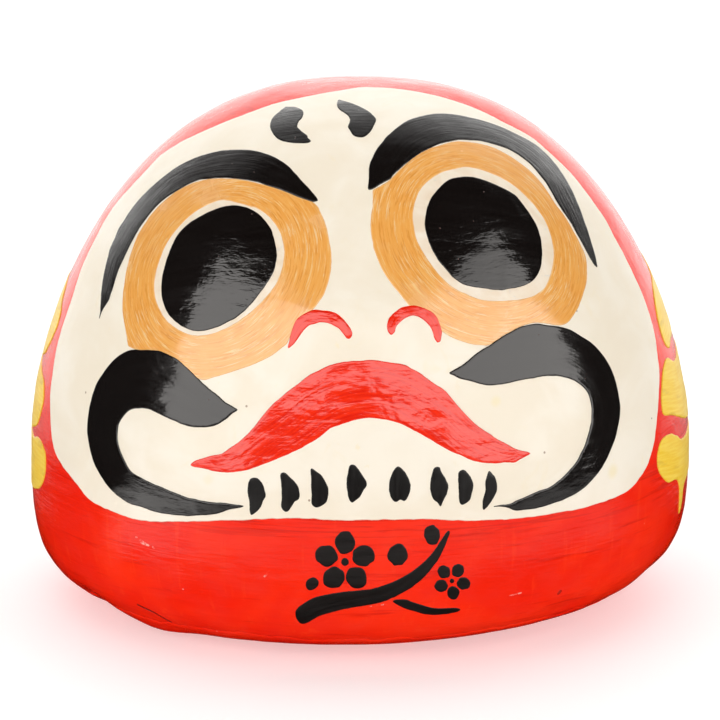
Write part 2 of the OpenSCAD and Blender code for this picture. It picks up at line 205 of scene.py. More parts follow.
def rays_to_base(XY):
    """Sheet positions to (bearing, elevation) on the plain form, by marching along the sight lines."""
    XY = np.asarray(XY, float)
    d = FWD[None] * FOCAL + RGT[None] * XY[:, :1] + UPV[None] * XY[:, 1:]
    d /= np.linalg.norm(d, axis=1)[:, None]

    def inside(s):
        P = EYE + d * s[:, None] - np.array([0, 0, Z0])
        ph, be = to_angles(P)
        return np.linalg.norm(P, axis=1) < np.interp(be, PB, PR), P

    s = np.full(len(XY), 1040.0)
    hit = np.zeros(len(XY), bool)
    best = np.full(len(XY), 1e9)
    sb = s.copy()
    for _ in range(285):
        ins, P = inside(s)
        ph, be = to_angles(P)
        gap = np.linalg.norm(P, axis=1) - np.interp(be, PB, PR)
        m = (~hit) & (gap < best)
        best = np.where(m, gap, best)
        sb = np.where(m, s, sb)
        hit |= ins
        s = np.where(hit, s, s + 1.0)
    a, b = s - 1.0, s.copy()
    for _ in range(16):
        m = (a + b) / 2
        ins, _ = inside(m)
        b = np.where(ins, m, b)
        a = np.where(ins, a, m)
    s = np.where(hit, (a + b) / 2, sb)
    P = EYE + d * s[:, None] - np.array([0, 0, Z0])
    return to_angles(P)


def sheet_to_body(XY):
    """As rays_to_base, but landing right on the lumpy skin."""
    XY = np.asarray(XY, float)
    goal = XY.copy()
    aim = XY.copy()
    for _ in range(3):
        ph, be = rays_to_base(aim)
        err = goal - project(surface(ph, be))
        err = np.where(np.abs(err) > 8, 0, err)
        aim = aim + 0.9 * err
    return rays_to_base(aim)


_l = np.array([(a, b) for a, b, *_ in LUMPS], float)
_ph, _be = rays_to_base(_l)
_q, _n = base_point(_ph, _be), base_normal(_ph, _be)
_lump_at = []
for k, (_, _, ax, ay, hh) in enumerate(LUMPS):
    ex = np.cross([0, 0, 1.0], _n[k]); ex /= np.linalg.norm(ex)
    _lump_at.append((_q[k], ex, np.cross(_n[k], ex), ax, ay, hh))


def new_mesh(name, V, F, attrs=None, smooth=True):
    me = bpy.data.meshes.new(name)
    me.from_pydata((np.asarray(V) * MM).tolist(), [], [tuple(map(int, f)) for f in F])
    me.validate()
    me.update()
    if smooth:
        me.polygons.foreach_set("use_smooth", np.ones(len(me.polygons), bool))
    for key, val in (attrs or {}).items():
        val = np.asarray(val, np.float32)
        kind = "FLOAT_VECTOR" if val.ndim == 2 else "FLOAT"
        at = me.attributes.new(key, kind, "POINT")
        at.data.foreach_set("vector" if val.ndim == 2 else "value", val.ravel())
    ob = bpy.data.objects.new(name, me)
    scene.collection.objects.link(ob)
    return ob


# ------------------------------------------------------------------ charts, outlines and films
def chart_axes(phi, elev):
    c = np.array([math.cos(elev) * math.sin(phi), -math.cos(elev) * math.cos(phi), math.sin(elev)])
    a = np.array([math.cos(phi), math.sin(phi), 0.0])
    return c, a, np.cross(c, a)


FRONT = chart_axes(0.0, math.radians(12))
RSIDE = chart_axes(math.radians(88), math.radians(5))
LSIDE = chart_axes(math.radians(-92), math.radians(5))
CR = 105.0


def to_chart(ph, be, ch):
    c, a, b = ch
    d = np.stack([np.cos(be) * np.sin(ph), -np.cos(be) * np.cos(ph), np.sin(be)], 1)
    k = 2 * CR / (1 + d @ c)
    return np.stack([k * (d @ a), k * (d @ b)], 1)


def from_chart(U, ch):
    c, a, b = ch
    t = (U ** 2).sum(1) / (4 * CR * CR)
    d = ((1 - t)[:, None] * c + (U[:, :1] / CR) * a + (U[:, 1:] / CR) * b) / (1 + t)[:, None]
    return to_angles(d)


def spline(P, step, closed=True):
    """Evenly spaced points on a smooth curve through P."""
    P = np.asarray(P, float)
    n = len(P)
    out = []
    m = n if closed else n - 1
    for i in range(m):
        p1, p2 = P[i], P[(i + 1) % n]
        p0 = P[(i - 1) % n] if closed or i > 0 else p1
        p3 = P[(i + 2) % n] if closed or i + 2 < n else p2
        k = max(3, int(np.linalg.norm(p2 - p1) / step * 2) + 2)
        t = np.linspace(0, 1, k, endpoint=False)[:, None]
        out.append(0.5 * ((2 * p1) + (p2 - p0) * t + (2 * p0 - 5 * p1 + 4 * p2 - p3) * t * t
                          + (3 * p1 - p0 - 3 * p2 + p3) * t ** 3))
    out = np.concatenate(out + ([P[:1]] if closed else [P[-1:]]))
    s = np.concatenate([[0], np.cumsum(np.linalg.norm(np.diff(out, axis=0), axis=1))])
    k = max(8, int(s[-1] / step))
    q = np.linspace(0, s[-1], k, endpoint=not closed)
    return np.stack([np.interp(q, s, out[:, 0]), np.interp(q, s, out[:, 1])], 1)


def area2(P):
    x, y = P[:, 0], P[:, 1]
    return float(np.sum(x * np.roll(y, -1) - np.roll(x, -1) * y))


def dist_to(P, L, closed=True):
    """Distance, arc position and side of points P from the polyline L."""
    A = L
    B = np.roll(L, -1, axis=0) if closed else L[1:]
    if not closed:
        A = L[:-1]
    D = B - A
    LL = np.maximum((D ** 2).sum(1), 1e-12)
    S = np.concatenate([[0], np.cumsum(np.sqrt(LL))])
    dist = np.empty(len(P)); arc = np.empty(len(P)); side = np.empty(len(P))
    for i in range(0, len(P), 1500):
        p = P[i:i + 1500]
        w = p[:, None, :] - A[None]
        t = np.clip((w * D[None]).sum(2) / LL, 0, 1)
        q = w - t[..., None] * D[None]
        dd = (q ** 2).sum(2)
        k = dd.argmin(1)
        r = np.arange(len(p))
        dist[i:i + 1500] = np.sqrt(dd[r, k])
        arc[i:i + 1500] = S[k] + t[r, k] * np.sqrt(LL[k])
        side[i:i + 1500] = np.sign(D[k, 0] * w[r, k, 1] - D[k, 1] * w[r, k, 0])
    return dist, arc, side


def contains(P, L):
    x, y = P[:, 0], P[:, 1]
    ins = np.zeros(len(P), bool)
    x1, y1 = L[:, 0], L[:, 1]
    x2, y2 = np.roll(x1, -1), np.roll(y1, -1)
    for a, b, c, d in zip(x1, y1, x2, y2):
        if b == d:
            continue
        m = ((b > y) != (d > y)) & (x < (c - a) * (y - b) / (d - b) + a)
        ins ^= m
    return ins


def outline(pts, ch, step=0.6, rough=0.10, seed=0):
    """Listed points, on the sheet (X, Y) or on the side (bearing, height, 0), to a chart loop."""
    if len(pts[0]) == 3:
        ph = np.radians([p[0] for p in pts])
        z = np.array([p[1] for p in pts], float)
        be = np.interp(z, PROF[:, 1], PB)
    else:
        ph, be = sheet_to_body(pts)
    L = spline(to_chart(ph, be, ch), step)
    if area2(L) < 0:
        L = L[::-1]
    if rough:
        T = np.roll(L, -1, axis=0) - np.roll(L, 1, axis=0)
        T /= np.maximum(np.linalg.norm(T, axis=1), 1e-9)[:, None]
        N = np.stack([T[:, 1], -T[:, 0]], 1)
        L3 = np.column_stack([L, np.zeros(len(L))])
        L = L + N * (rough * noise(L3, 2.6, 40 + seed, 3))[:, None]
    return L


def film_parts(loop, ch, under, thick, grid, path=None, ring=None, hole=None, bead=0.12, seed=0,
               sink=0.16, lump=0.0, closed_path=False):
    """A raised coat of paint over a loop. Returns vertices, faces and stroke coordinates."""
    L = loop
    T = np.roll(L, -1, axis=0) - np.roll(L, 1, axis=0)
    T /= np.maximum(np.linalg.norm(T, axis=1), 1e-9)[:, None]
    IN = np.stack([-T[:, 1], T[:, 0]], 1)
    loops = [L]
    if hole is not None:
        loops.append(hole)
    pts = []
    for off in (0.12, 0.34, 0.80):
        q = L + IN * off
        d, _, _ = dist_to(q, L)
        q = q[(d > off * 0.93) & contains(q, L)]
        if off > 0.5:
            q = q[::2]
        pts.append(q)
    if hole is not None:
        Th = np.roll(hole, -1, axis=0) - np.roll(hole, 1, axis=0)
        Th /= np.maximum(np.linalg.norm(Th, axis=1), 1e-9)[:, None]
        OUT = np.stack([Th[:, 1], -Th[:, 0]], 1)
        for off in (0.12, 0.34, 0.80):
            q = hole + OUT * off
            d, _, _ = dist_to(q, hole)
            pts.append(q[(d > off * 0.93)][:: (2 if off > 0.5 else 1)])
    lo, hi = L.min(0), L.max(0)
    ys = np.arange(lo[1], hi[1], grid * 0.866)
    rows = []
    for i, y in enumerate(ys):
        xs = np.arange(lo[0] + (i % 2) * grid / 2, hi[0], grid)
        rows.append(np.column_stack([xs, np.full(len(xs), y)]))
    g = np.concatenate(rows)
    g = g[contains(g, L)]
    d, _, _ = dist_to(g, L)
    g = g[d > 1.25]
    if hole is not None:
        g = g[~contains(g, hole)]
        d, _, _ = dist_to(g, hole)
        g = g[d > 1.25]
    allp = np.concatenate(loops + pts + [g])
    n0 = len(L)
    n1 = len(hole) if hole is not None else 0
    faces_in = [list(range(n0))]
    edges_in = [(n0 + i, n0 + (i + 1) % n1) for i in range(n1)]
    res = delaunay_2d_cdt([Vector(p) for p in allp.tolist()], edges_in, faces_in, 1, 1e-4)
    V = np.array([tuple(v) for v in res[0]])
    F = np.array(res[2])
    if hole is not None:
        cen = V[F].mean(1)
        F = F[~contains(cen, hole)]
    used = np.unique(F)
    remap = -np.ones(len(V), int)
    remap[used] = np.arange(len(used))
    V, F = V[used], remap[F]
    a = V[F[:, 1]] - V[F[:, 0]]
    b = V[F[:, 2]] - V[F[:, 0]]
    flip = (a[:, 0] * b[:, 1] - a[:, 1] * b[:, 0]) < 0
    F[flip] = F[flip][:, ::-1]
    ed, _, _ = dist_to(V, L)
    if hole is not None:
        ed = np.minimum(ed, dist_to(V, hole)[0])
    V3 = np.column_stack([V, np.zeros(len(V))])
    rise = 1 - np.exp(-(ed / 0.085) ** 1.3)
    top = under + thick * rise * (1 + bead * np.exp(-((ed - 0.75) / 0.5) ** 2))
    top += lump * noise(V3, 5.0, 60 + seed, 2) * sstep(0.3, 1.6, ed)
    top = np.maximum(top, under + 0.015)
    top[ed < 1e-4] = under + 0.015
    ph, be = from_chart(V, ch)
    be = np.clip(be, BETA0 + 1e-4, BETA1 - 1e-4)
    VT = lifted(ph, be, top)
    VB = lifted(ph, be, np.full(len(V), under - sink))
    n = len(V)
    e = {}
    for f in F:
        for i in range(3):
            k = (f[i], f[(i + 1) % 3])
            e[k] = True
    rim = [k for k in e if (k[1], k[0]) not in e]
    faces = [tuple(f) for f in F] + [tuple(f[::-1] + n) for f in F]
    faces += [(k[1], k[0], k[0] + n) for k in rim] + [(k[1], k[0] + n, k[1] + n) for k in rim]
    if ring is not None:
        w = V - np.asarray(ring)
        ang = np.arctan2(w[:, 1], w[:, 0])
        rr = np.hypot(w[:, 0], w[:, 1])
        stroke = np.column_stack([np.cos(ang) * 22, rr, np.sin(ang) * 22])
    elif path is not None:
        dd, arc, side = dist_to(V, path, closed_path)
        stroke = np.column_stack([arc, dd * side, np.zeros(len(V))])
    else:
        stroke = np.column_stack([V, np.zeros(len(V))])
    return (np.concatenate([VT, VB]), faces, np.concatenate([stroke, stroke]), np.concatenate([ed, ed * 0]))


def join_parts(name, parts):
    V, F, S, E, n = [], [], [], [], 0
    for v, f, s, e in parts:
        V.append(v); S.append(s); E.append(e)
        F += [tuple(i + n for i in t) for t in f]
        n += len(v)
    return new_mesh(name, np.concatenate(V), F, {"stroke": np.concatenate(S), "edge": np.concatenate(E)})


def sheet_path(pts, ch=FRONT):
    ph, be = sheet_to_body(pts)
    return spline(to_chart(ph, be, ch), 1.5, closed=False)

# ------------------------------------------------------------------ materials
class Mat:
    """A procedural paint or paper, sized in millimetres."""

    def __init__(self, name):
        self.m = bpy.data.materials.new(name)
        self.m.use_nodes = True
        self.t = self.m.node_tree
        self.t.nodes.clear()
        self.b = self.node("ShaderNodeBsdfPrincipled")
        out = self.node("ShaderNodeOutputMaterial")
        self.link(self.b.outputs[0], out.inputs[0])

    def node(self, kind, **kw):
        n = self.t.nodes.new(kind)
        for k, v in kw.items():
            setattr(n, k, v)
        return n

    def link(self, a, b):
        self.t.links.new(a, b)

    def at(self, size=(1, 1, 1), stroke=False, shift=(0, 0, 0)):
        """Coordinates divided by size in mm, on the object or along the brush stroke."""
        if stroke:
            src = self.node("ShaderNodeAttribute", attribute_name="stroke").outputs["Vector"]
            k = 1.0
        else:
            src = self.node("ShaderNodeTexCoord").outputs["Object"]
            k = 1000.0
        mp = self.node("ShaderNodeMapping")
        mp.inputs["Location"].default_value = shift
        mp.inputs["Scale"].default_value = [k / s for s in size]
        self.link(src, mp.inputs["Vector"])
        return mp.outputs[0]

    def node_z(self):
        """Height on the object in metres."""
        sep = self.node("ShaderNodeSeparateXYZ")
        self.link(self.node("ShaderNodeTexCoord").outputs["Object"], sep.inputs[0])
        return sep.outputs["Z"]

    def edge(self):
        return self.node("ShaderNodeAttribute", attribute_name="edge").outputs["Fac"]

    def noise(self, vec, detail=3.0, rough=0.5, distort=0.0):
        n = self.node("ShaderNodeTexNoise")
        n.inputs["Scale"].default_value = 1.0
        n.inputs["Detail"].default_value = detail
        n.inputs["Roughness"].default_value = rough
        n.inputs["Distortion"].default_value = distort
        self.link(vec, n.inputs["Vector"])
        return n.outputs["Fac"]

    def cells(self, vec, feature="F1"):
        n = self.node("ShaderNodeTexVoronoi", feature=feature)
        n.inputs["Scale"].default_value = 1.0
        self.link(vec, n.inputs["Vector"])
        return n.outputs["Distance"]

    def span(self, v, a, b, lo=0.0, hi=1.0, smooth=True):
        n = self.node("ShaderNodeMapRange", interpolation_type="SMOOTHSTEP" if smooth else "LINEAR")
        for k, x in (("From Min", a), ("From Max", b), ("To Min", lo), ("To Max", hi)):
            n.inputs[k].default_value = x
        self.link(v, n.inputs["Value"])
        return n.outputs["Result"]

    def twist(self, per_mm, size, shift=(0, 0, 0)):
        """Stroke coordinates round a ring, turned so that marks cross the ring's own direction."""
        src = self.node("ShaderNodeAttribute", attribute_name="stroke").outputs["Vector"]
        sep = self.node("ShaderNodeSeparateXYZ")
        self.link(src, sep.inputs[0])
        ang = self.calc("MULTIPLY", sep.outputs["Y"], per_mm)
        rot = self.node("ShaderNodeVectorRotate", rotation_type="Y_AXIS")
        self.link(src, rot.inputs["Vector"])
        self.link(ang, rot.inputs["Angle"])
        mp = self.node("ShaderNodeMapping")
        mp.inputs["Location"].default_value = shift
        mp.inputs["Scale"].default_value = [1 / s for s in size]
        self.link(rot.outputs[0], mp.inputs["Vector"])
        return mp.outputs[0]

    def vec(self, op, a, b=None, scale=None):
        n = self.node("ShaderNodeVectorMath", operation=op)
        for i, x in ((0, a), (1, b)):
            if isinstance(x, tuple):
                n.inputs[i].default_value = x
            elif x is not None:
                self.link(x, n.inputs[i])
        if scale is not None:
            self.link(scale, n.inputs["Scale"])
        return n.outputs["Value"] if op in ("DOT_PRODUCT", "LENGTH") else n.outputs["Vector"]

    def line(self, a, b, wide, soft=0.15):
        """A thin mark on the object from a to b, both in mm: 1 on the line, 0 away from it."""
        P = self.node("ShaderNodeTexCoord").outputs["Object"]
        A, B = np.asarray(a) * MM, np.asarray(b) * MM
        D = B - A
        rel = self.vec("SUBTRACT", P, tuple(A))
        t = self.vec("DOT_PRODUCT", rel, tuple(D / float(D @ D)))
        t = self.span(t, 0.0, 1.0, smooth=False)
        base = self.node("ShaderNodeCombineXYZ")
        for i in range(3):
            self.link(self.calc("MULTIPLY", t, float(D[i])), base.inputs[i])
        dist = self.vec("LENGTH", self.vec("SUBTRACT", rel, base.outputs[0]))
        return self.span(dist, wide * MM, (wide + soft) * MM, 1.0, 0.0)

    def calc(self, op, a, b):
        n = self.node("ShaderNodeMath", operation=op)
        for i, x in enumerate((a, b)):
            if isinstance(x, (int, float)):
                n.inputs[i].default_value = x
            else:
                self.link(x, n.inputs[i])
        return n.outputs[0]

    def mix(self, fac, a, b, blend="MIX"):
        n = self.node("ShaderNodeMix", data_type="RGBA", blend_type=blend)
        if isinstance(fac, (int, float)):
            n.inputs[0].default_value = fac
        else:
            self.link(fac, n.inputs[0])
        for i, x in ((6, a), (7, b)):
            if isinstance(x, tuple):
                n.inputs[i].default_value = (*x, 1.0)
            else:
                self.link(x, n.inputs[i])
        return n.outputs[2]

    def bump(self, parts, strength=1.0):
        """parts: (height socket, mm). Returns a normal."""
        total = None
        for sock, mm in parts:
            h = self.calc("MULTIPLY", sock, mm)
            total = h if total is None else self.calc("ADD", total, h)
        n = self.node("ShaderNodeBump")
        n.inputs["Strength"].default_value = strength
        n.inputs["Distance"].default_value = MM
        self.link(total, n.inputs["Height"])
        return n.outputs["Normal"]

    def done(self, color, rough, normal=None, coat=0.0, coat_rough=0.1, ior=1.5, coat_normal=None, spec=0.5):
        b = self.b
        if isinstance(color, tuple):
            b.inputs["Base Color"].default_value = (*color, 1.0)
        else:
            self.link(color, b.inputs["Base Color"])
        if isinstance(rough, (int, float)):
            b.inputs["Roughness"].default_value = rough
        else:
            self.link(rough, b.inputs["Roughness"])
        b.inputs["IOR"].default_value = ior
        b.inputs["Specular IOR Level"].default_value = spec
        b.inputs["Coat Weight"].default_value = coat
        b.inputs["Coat Roughness"].default_value = coat_rough
        if normal is not None:
            self.link(normal, b.inputs["Normal"])
            self.link(coat_normal or normal, b.inputs["Coat Normal"])
        return self.m


def on_body(X, Y):
    """Body point in mm under a sheet position."""
    ph, be = sheet_to_body([(X, Y)])
    return surface(ph, be)[0]


STAINS = [((252, -138), 0.5, 2.6, 0.45, (0.90, 0.77, 0.40)), ((135, -68), 0.4, 1.8, 0.40, (0.90, 0.76, 0.40)),
          ((291, -85), 0.12, 0.22, 0.85, (0.12, 0.07, 0.05)), ((-93, -149), 0.10, 0.20, 0.8, (0.14, 0.08, 0.06)),
          ((-152, -146), 0.3, 2.0, 0.30, (0.91, 0.80, 0.50)), ((-93, 95), 0.2, 0.9, 0.30, (0.90, 0.74, 0.42))]
# crease lines on the sheet: painted as shade in the red lacquer's colour and dented in its bump
CREASES = [((-222, -271), (-205, -279)), ((-205, -279), (-189, -288))]
SCRATCHES = [((-224, -203), (-212, -211)), ((-219, -209), (-205, -214)), ((-143, -297), (-135, -300)),
             ((-152, -300), (-141, -303)), ((10, -272), (27, -270)), ((150, -262), (161, -259)),
             ((-96, -243), (-91, -238))]


def mat_red(name, lively=1.0, marks=True):
    M = Mat(name)
    up = M.noise(M.at((2.6, 2.6, 26)), 3, 0.58, 0.3)         # brushed up and down
    across = M.noise(M.at((30, 30, 2.2)), 3, 0.58, 0.3)      # brushed round
    patch_ = M.noise(M.at((34, 34, 24)), 3, 0.5, 0.5)
    low = M.span(M.node_z(), 0.044, 0.062, 1.0, 0.0)
    which = M.calc("MAXIMUM", M.span(M.noise(M.at((48, 48, 40), shift=(3, 1, 2)), 2), 0.44, 0.60), low)
    fine_u = M.noise(M.at((0.7, 0.7, 9)), 2, 0.6)
    fine_a = M.noise(M.at((11, 11, 0.6)), 2, 0.6)
    col = M.mix(M.span(patch_, 0.35, 0.66), (0.885, 0.0150, 0.0028), (0.970, 0.0275, 0.0048))
    col = M.mix(M.calc("MULTIPLY", M.span(up, 0.56, 0.74), 0.42), col, (0.985, 0.046, 0.009))
    col = M.mix(M.calc("MULTIPLY", M.span(across, 0.58, 0.74), 0.55), col, (0.60, 0.0075, 0.0018))
    wet = M.noise(M.at((36, 36, 1.5), shift=(2, 8, 3)), 3, 0.6, 0.4)
    zone = M.calc("MULTIPLY", M.span(M.node_z(), 0.036, 0.047), M.span(M.node_z(), 0.047, 0.054, 1.0, 0.0))
    col = M.mix(M.calc("MULTIPLY", M.calc("MULTIPLY", M.span(wet, 0.50, 0.64), zone), 0.5), col, (0.50, 0.0060, 0.0016))
    pale = M.span(M.cells(M.at((11.0, 11.0, 11.0))), 0.016, 0.026, 1.0, 0.0)
    col = M.mix(M.calc("MULTIPLY", pale, 0.60), col, (0.93, 0.42, 0.36))
    dust = M.span(M.cells(M.at((17.0, 17.0, 17.0), shift=(4, 4, 9))), 0.012, 0.020, 1.0, 0.0)
    col = M.mix(M.calc("MULTIPLY", dust, 0.60), col, (0.22, 0.010, 0.005))
    crease_shade_and_dent = None
    if marks:
        broken = M.noise(M.at((1.3, 1.3, 1.3), shift=(5, 5, 5)), 2, 0.6)
        for a, b in CREASES:
            m = M.line(on_body(*a), on_body(*b), 0.30, 0.20)
            crease_shade_and_dent = m if crease_shade_and_dent is None else M.calc("MAXIMUM", crease_shade_and_dent, m)
        # painted shade: the crease lines are darkened almost to black, as the shade that falls in the creases; the same
        # mask also dents the bump
        col = M.mix(M.calc("MULTIPLY", crease_shade_and_dent, 0.85), col, (0.060, 0.006, 0.004))
        nick = None
        for a, b in SCRATCHES:
            m = M.line(on_body(*a), on_body(*b), 0.05, 0.35)
            nick = m if nick is None else M.calc("MAXIMUM", nick, m)
        col = M.mix(M.calc("MULTIPLY", nick, M.span(broken, 0.42, 0.60, 0.0, 0.8)), col, (0.95, 0.50, 0.42))
        a = on_body(199, -259)
        pimple = M.line(a, a + np.array([0.3, 0, 0.3]), 0.45, 0.30)
        col = M.mix(M.calc("MULTIPLY", pimple, 0.6), col, (0.20, 0.012, 0.006))
        crease_shade_and_dent = M.calc("SUBTRACT", crease_shade_and_dent, M.calc("MULTIPLY", pimple, 2.0))
    streak = M.mix(which, fine_u, fine_a)
    broad = M.mix(which, up, across)
    rough = M.span(M.noise(M.at((9, 9, 6)), 3), 0.3, 0.7, 0.10, 0.20)
    wrinkle = M.noise(M.at((6.5, 6.5, 2.6)), 4, 0.52, 0.6)
    pit = M.span(M.cells(M.at((3.1, 3.1, 3.1), shift=(1, 2, 3))), 0.03, 0.12)
    hills = [(broad, 0.17), (streak, 0.055), (wrinkle, 0.15), (pit, 0.015)]
    if crease_shade_and_dent is not None:
        hills.append((crease_shade_and_dent, -0.25))
    nrm = M.bump(hills, lively)
    return M.done(col, rough, nrm, coat=0.0, coat_rough=0.14, spec=0.45)


def mat_cream(name):
    M = Mat(name)
    wash = M.noise(M.at((26, 26, 20)), 3, 0.55, 0.6)
    stain = M.noise(M.at((9, 9, 12), shift=(5, 2, 1)), 4, 0.6, 0.8)
    spot = M.noise(M.at((4.2, 4.2, 5.5), shift=(1, 9, 4)), 3, 0.55)
    col = M.mix(M.span(wash, 0.35, 0.68), (0.900, 0.815, 0.665), (0.945, 0.880, 0.755))
    col = M.mix(M.calc("MULTIPLY", M.span(stain, 0.60, 0.78), 0.32), col, (0.90, 0.775, 0.520))
    col = M.mix(M.calc("MULTIPLY", M.span(spot, 0.70, 0.80), 0.35), col, (0.91, 0.76, 0.44))
    seed = M.span(M.cells(M.at((15, 15, 15), shift=(2, 7, 5))), 0.018, 0.030, 1.0, 0.0)
    col = M.mix(M.calc("MULTIPLY", seed, 0.75), col, (0.30, 0.18, 0.10))
    for (X, Y), wide, soft_, amt, tone in STAINS:
        a = on_body(X, Y)
        col = M.mix(M.calc("MULTIPLY", M.line(a, a + np.array([0.4, 0, 0.3]), wide, soft_), amt), col, tone)
    rim = M.span(M.edge(), 0.0, 0.55, 1.0, 0.0)
    col = M.mix(M.calc("MULTIPLY", rim, 0.35), col, (0.86, 0.52, 0.36))
    col = M.mix(M.calc("MULTIPLY", M.span(M.edge(), 0.05, 0.26, 1.0, 0.0), 0.5), col, (0.42, 0.085, 0.040))
    brush = M.noise(M.at((3.6, 3.6, 22)), 3, 0.6, 0.4)
    sweep = M.noise(M.at((22, 22, 2.4), shift=(4, 0, 0)), 3, 0.6, 0.3)
    fine = M.noise(M.at((0.9, 0.9, 4.5)), 3, 0.6)
    rough = M.span(brush, 0.3, 0.7, 0.34, 0.48)
    nrm = M.bump([(brush, 0.055), (sweep, 0.05), (fine, 0.014)], 1.0)
    return M.done(col, rough, nrm, coat=0.25, coat_rough=0.2)


def mat_white(name):
    M = Mat(name)
    wash = M.noise(M.at((7, 7, 7)), 3, 0.55, 0.5)
    col = M.mix(M.span(wash, 0.3, 0.7), (0.855, 0.715, 0.545), (0.925, 0.830, 0.690))
    smear = M.noise(M.at((5.5, 5.5, 3.0), shift=(4, 4, 1)), 4, 0.6, 1.0)
    col = M.mix(M.calc("MULTIPLY", M.span(smear, 0.60, 0.72), 0.30), col, (0.60, 0.63, 0.66))
    fine = M.noise(M.at((1.2, 1.2, 1.2)), 3, 0.6)
    nrm = M.bump([(wash, 0.08), (fine, 0.02)], 1.0)
    return M.done(col, 0.42, nrm, coat=0.3, coat_rough=0.2)


def mat_ochre(name):
    M = Mat(name)
    v = M.noise(M.at((11, 0.95, 11), stroke=True), 4, 0.62, 0.25)
    f1 = M.noise(M.twist(0.034, (8.0, 0.56, 8.0), (3, 1, 2)), 4, 0.64, 0.25)
    f2 = M.noise(M.twist(-0.050, (6.5, 0.50, 6.5), (8, 4, 1)), 4, 0.64, 0.25)
    f3 = M.noise(M.twist(0.012, (5.0, 0.50, 5.0), (1, 9, 6)), 3, 0.6, 0.15)
    where = M.span(M.noise(M.at((12, 12, 12), shift=(6, 1, 3)), 2), 0.40, 0.62)
    wash = M.noise(M.at((16, 16, 14), shift=(2, 6, 1)), 3, 0.5, 0.5)
    f4 = M.noise(M.twist(0.095, (6.0, 0.52, 6.0), (4, 7, 2)), 3, 0.64, 0.25)
    col = M.mix(M.span(v, 0.30, 0.70), (0.895, 0.390, 0.074), (0.935, 0.455, 0.110))
    col = M.mix(M.calc("MULTIPLY", M.span(wash, 0.52, 0.70), 0.55), col, (0.905, 0.500, 0.200))
    col = M.mix(M.calc("MULTIPLY", M.span(f3, 0.48, 0.36), 0.70), col, (0.760, 0.285, 0.040))
    col = M.mix(M.calc("MULTIPLY", M.span(f1, 0.585, 0.66), 0.75), col, (0.955, 0.640, 0.270))
    dab = M.mix(where, M.span(f2, 0.63, 0.70), M.span(f2, 0.56, 0.63))
    col = M.mix(M.calc("MULTIPLY", dab, 0.72), col, (0.960, 0.720, 0.390))
    col = M.mix(M.calc("MULTIPLY", M.calc("MULTIPLY", M.span(f4, 0.60, 0.68), where), 0.70), col, (0.960, 0.740, 0.420))
    rim = M.span(M.edge(), 0.0, 0.7, 1.0, 0.0)
    col = M.mix(M.calc("MULTIPLY", rim, 0.45), col, (0.930, 0.640, 0.330))
    seed = M.span(M.cells(M.at((13, 13, 13), shift=(2, 3, 5))), 0.014, 0.024, 1.0, 0.0)
    col = M.mix(M.calc("MULTIPLY", seed, 0.8), col, (0.10, 0.035, 0.018))
    nrm = M.bump([(f1, 0.035), (f2, 0.030), (v, 0.05), (wash, 0.10)], 1.0)
    return M.done(col, M.span(wash, 0.3, 0.7, 0.18, 0.28), nrm, coat=1.0, coat_rough=0.09, spec=0.85)


def mat_black(name, ripple=0.10, hair=0.03, rough=0.12, coat=1.0, ior=1.5, tint=(0.0046, 0.0030, 0.0026), along=14,
              wide=0.55, fret=0.0, motes=0.0):
    M = Mat(name)
    bristle = M.noise(M.at((along, wide, along), stroke=True), 3, 0.62, 0.25)
    band = M.noise(M.at((along * 1.6, wide * 3.4, along * 1.6), stroke=True, shift=(2, 5, 1)), 2, 0.5, 0.3)
    wave = M.noise(M.at((11, 11, 2.6)), 3, 0.55, 0.5)
    col = M.mix(M.span(bristle, 0.35, 0.72), tint, (0.0075, 0.0056, 0.0050))
    hills = [(bristle, hair), (band, hair * 1.4), (wave, ripple)]
    if fret:
        hills.append((M.noise(M.at((4.0, 4.0, 1.0), shift=(7, 2, 4)), 2, 0.55, 0.8), fret))
        hills.append((M.noise(M.at((2.2, 2.2, 1.6), shift=(1, 8, 4)), 2, 0.5, 0.4), fret * 0.5))
    if motes:
        dust = M.span(M.cells(M.at((3.6, 3.6, 3.6), shift=(3, 5, 8))), 0.040, 0.062, 1.0, 0.0)
        keep = M.span(M.noise(M.at((3, 3, 3), shift=(9, 5, 2)), 1), 0.46, 0.56)
        dust = M.calc("MULTIPLY", dust, keep)
        col = M.mix(M.calc("MULTIPLY", dust, motes), col, (0.24, 0.13, 0.11))
        hills.append((dust, 0.06))
    nrm = M.bump(hills, 1.0)
    r = M.span(band, 0.3, 0.7, rough * 0.8, rough * 1.5)
    return M.done(col, r, nrm, coat=coat, coat_rough=0.05, ior=ior, spec=0.45)


def mat_lips(name):
    M = Mat(name)
    v = M.noise(M.at((16, 0.75, 16), stroke=True), 3, 0.6, 0.25)
    v2 = M.noise(M.at((24, 2.2, 24), stroke=True, shift=(1, 3, 1)), 3, 0.55, 0.4)
    wave = M.noise(M.at((12, 12, 3.0)), 3, 0.55, 0.5)
    col = M.mix(M.span(v, 0.32, 0.68), (0.800, 0.0140, 0.0026), (0.965, 0.0300, 0.0050))
    col = M.mix(M.calc("MULTIPLY", M.span(v2, 0.58, 0.76), 0.4), col, (0.985, 0.060, 0.016))
    rim = M.span(M.edge(), 0.0, 0.9, 1.0, 0.0)
    col = M.mix(M.calc("MULTIPLY", rim, 0.15), col, (0.60, 0.010, 0.003))
    fret = M.noise(M.at((5.0, 5.0, 1.3), shift=(7, 2, 4)), 3, 0.55, 0.8)
    swell = M.noise(M.at((7.5, 7.5, 6.0), shift=(3, 9, 2)), 2, 0.5, 0.5)
    nrm = M.bump([(v, 0.030), (v2, 0.09), (wave, 0.18), (fret, 0.050), (swell, 0.34)], 1.0)
    return M.done(col, 0.15, nrm, coat=1.0, coat_rough=0.05)


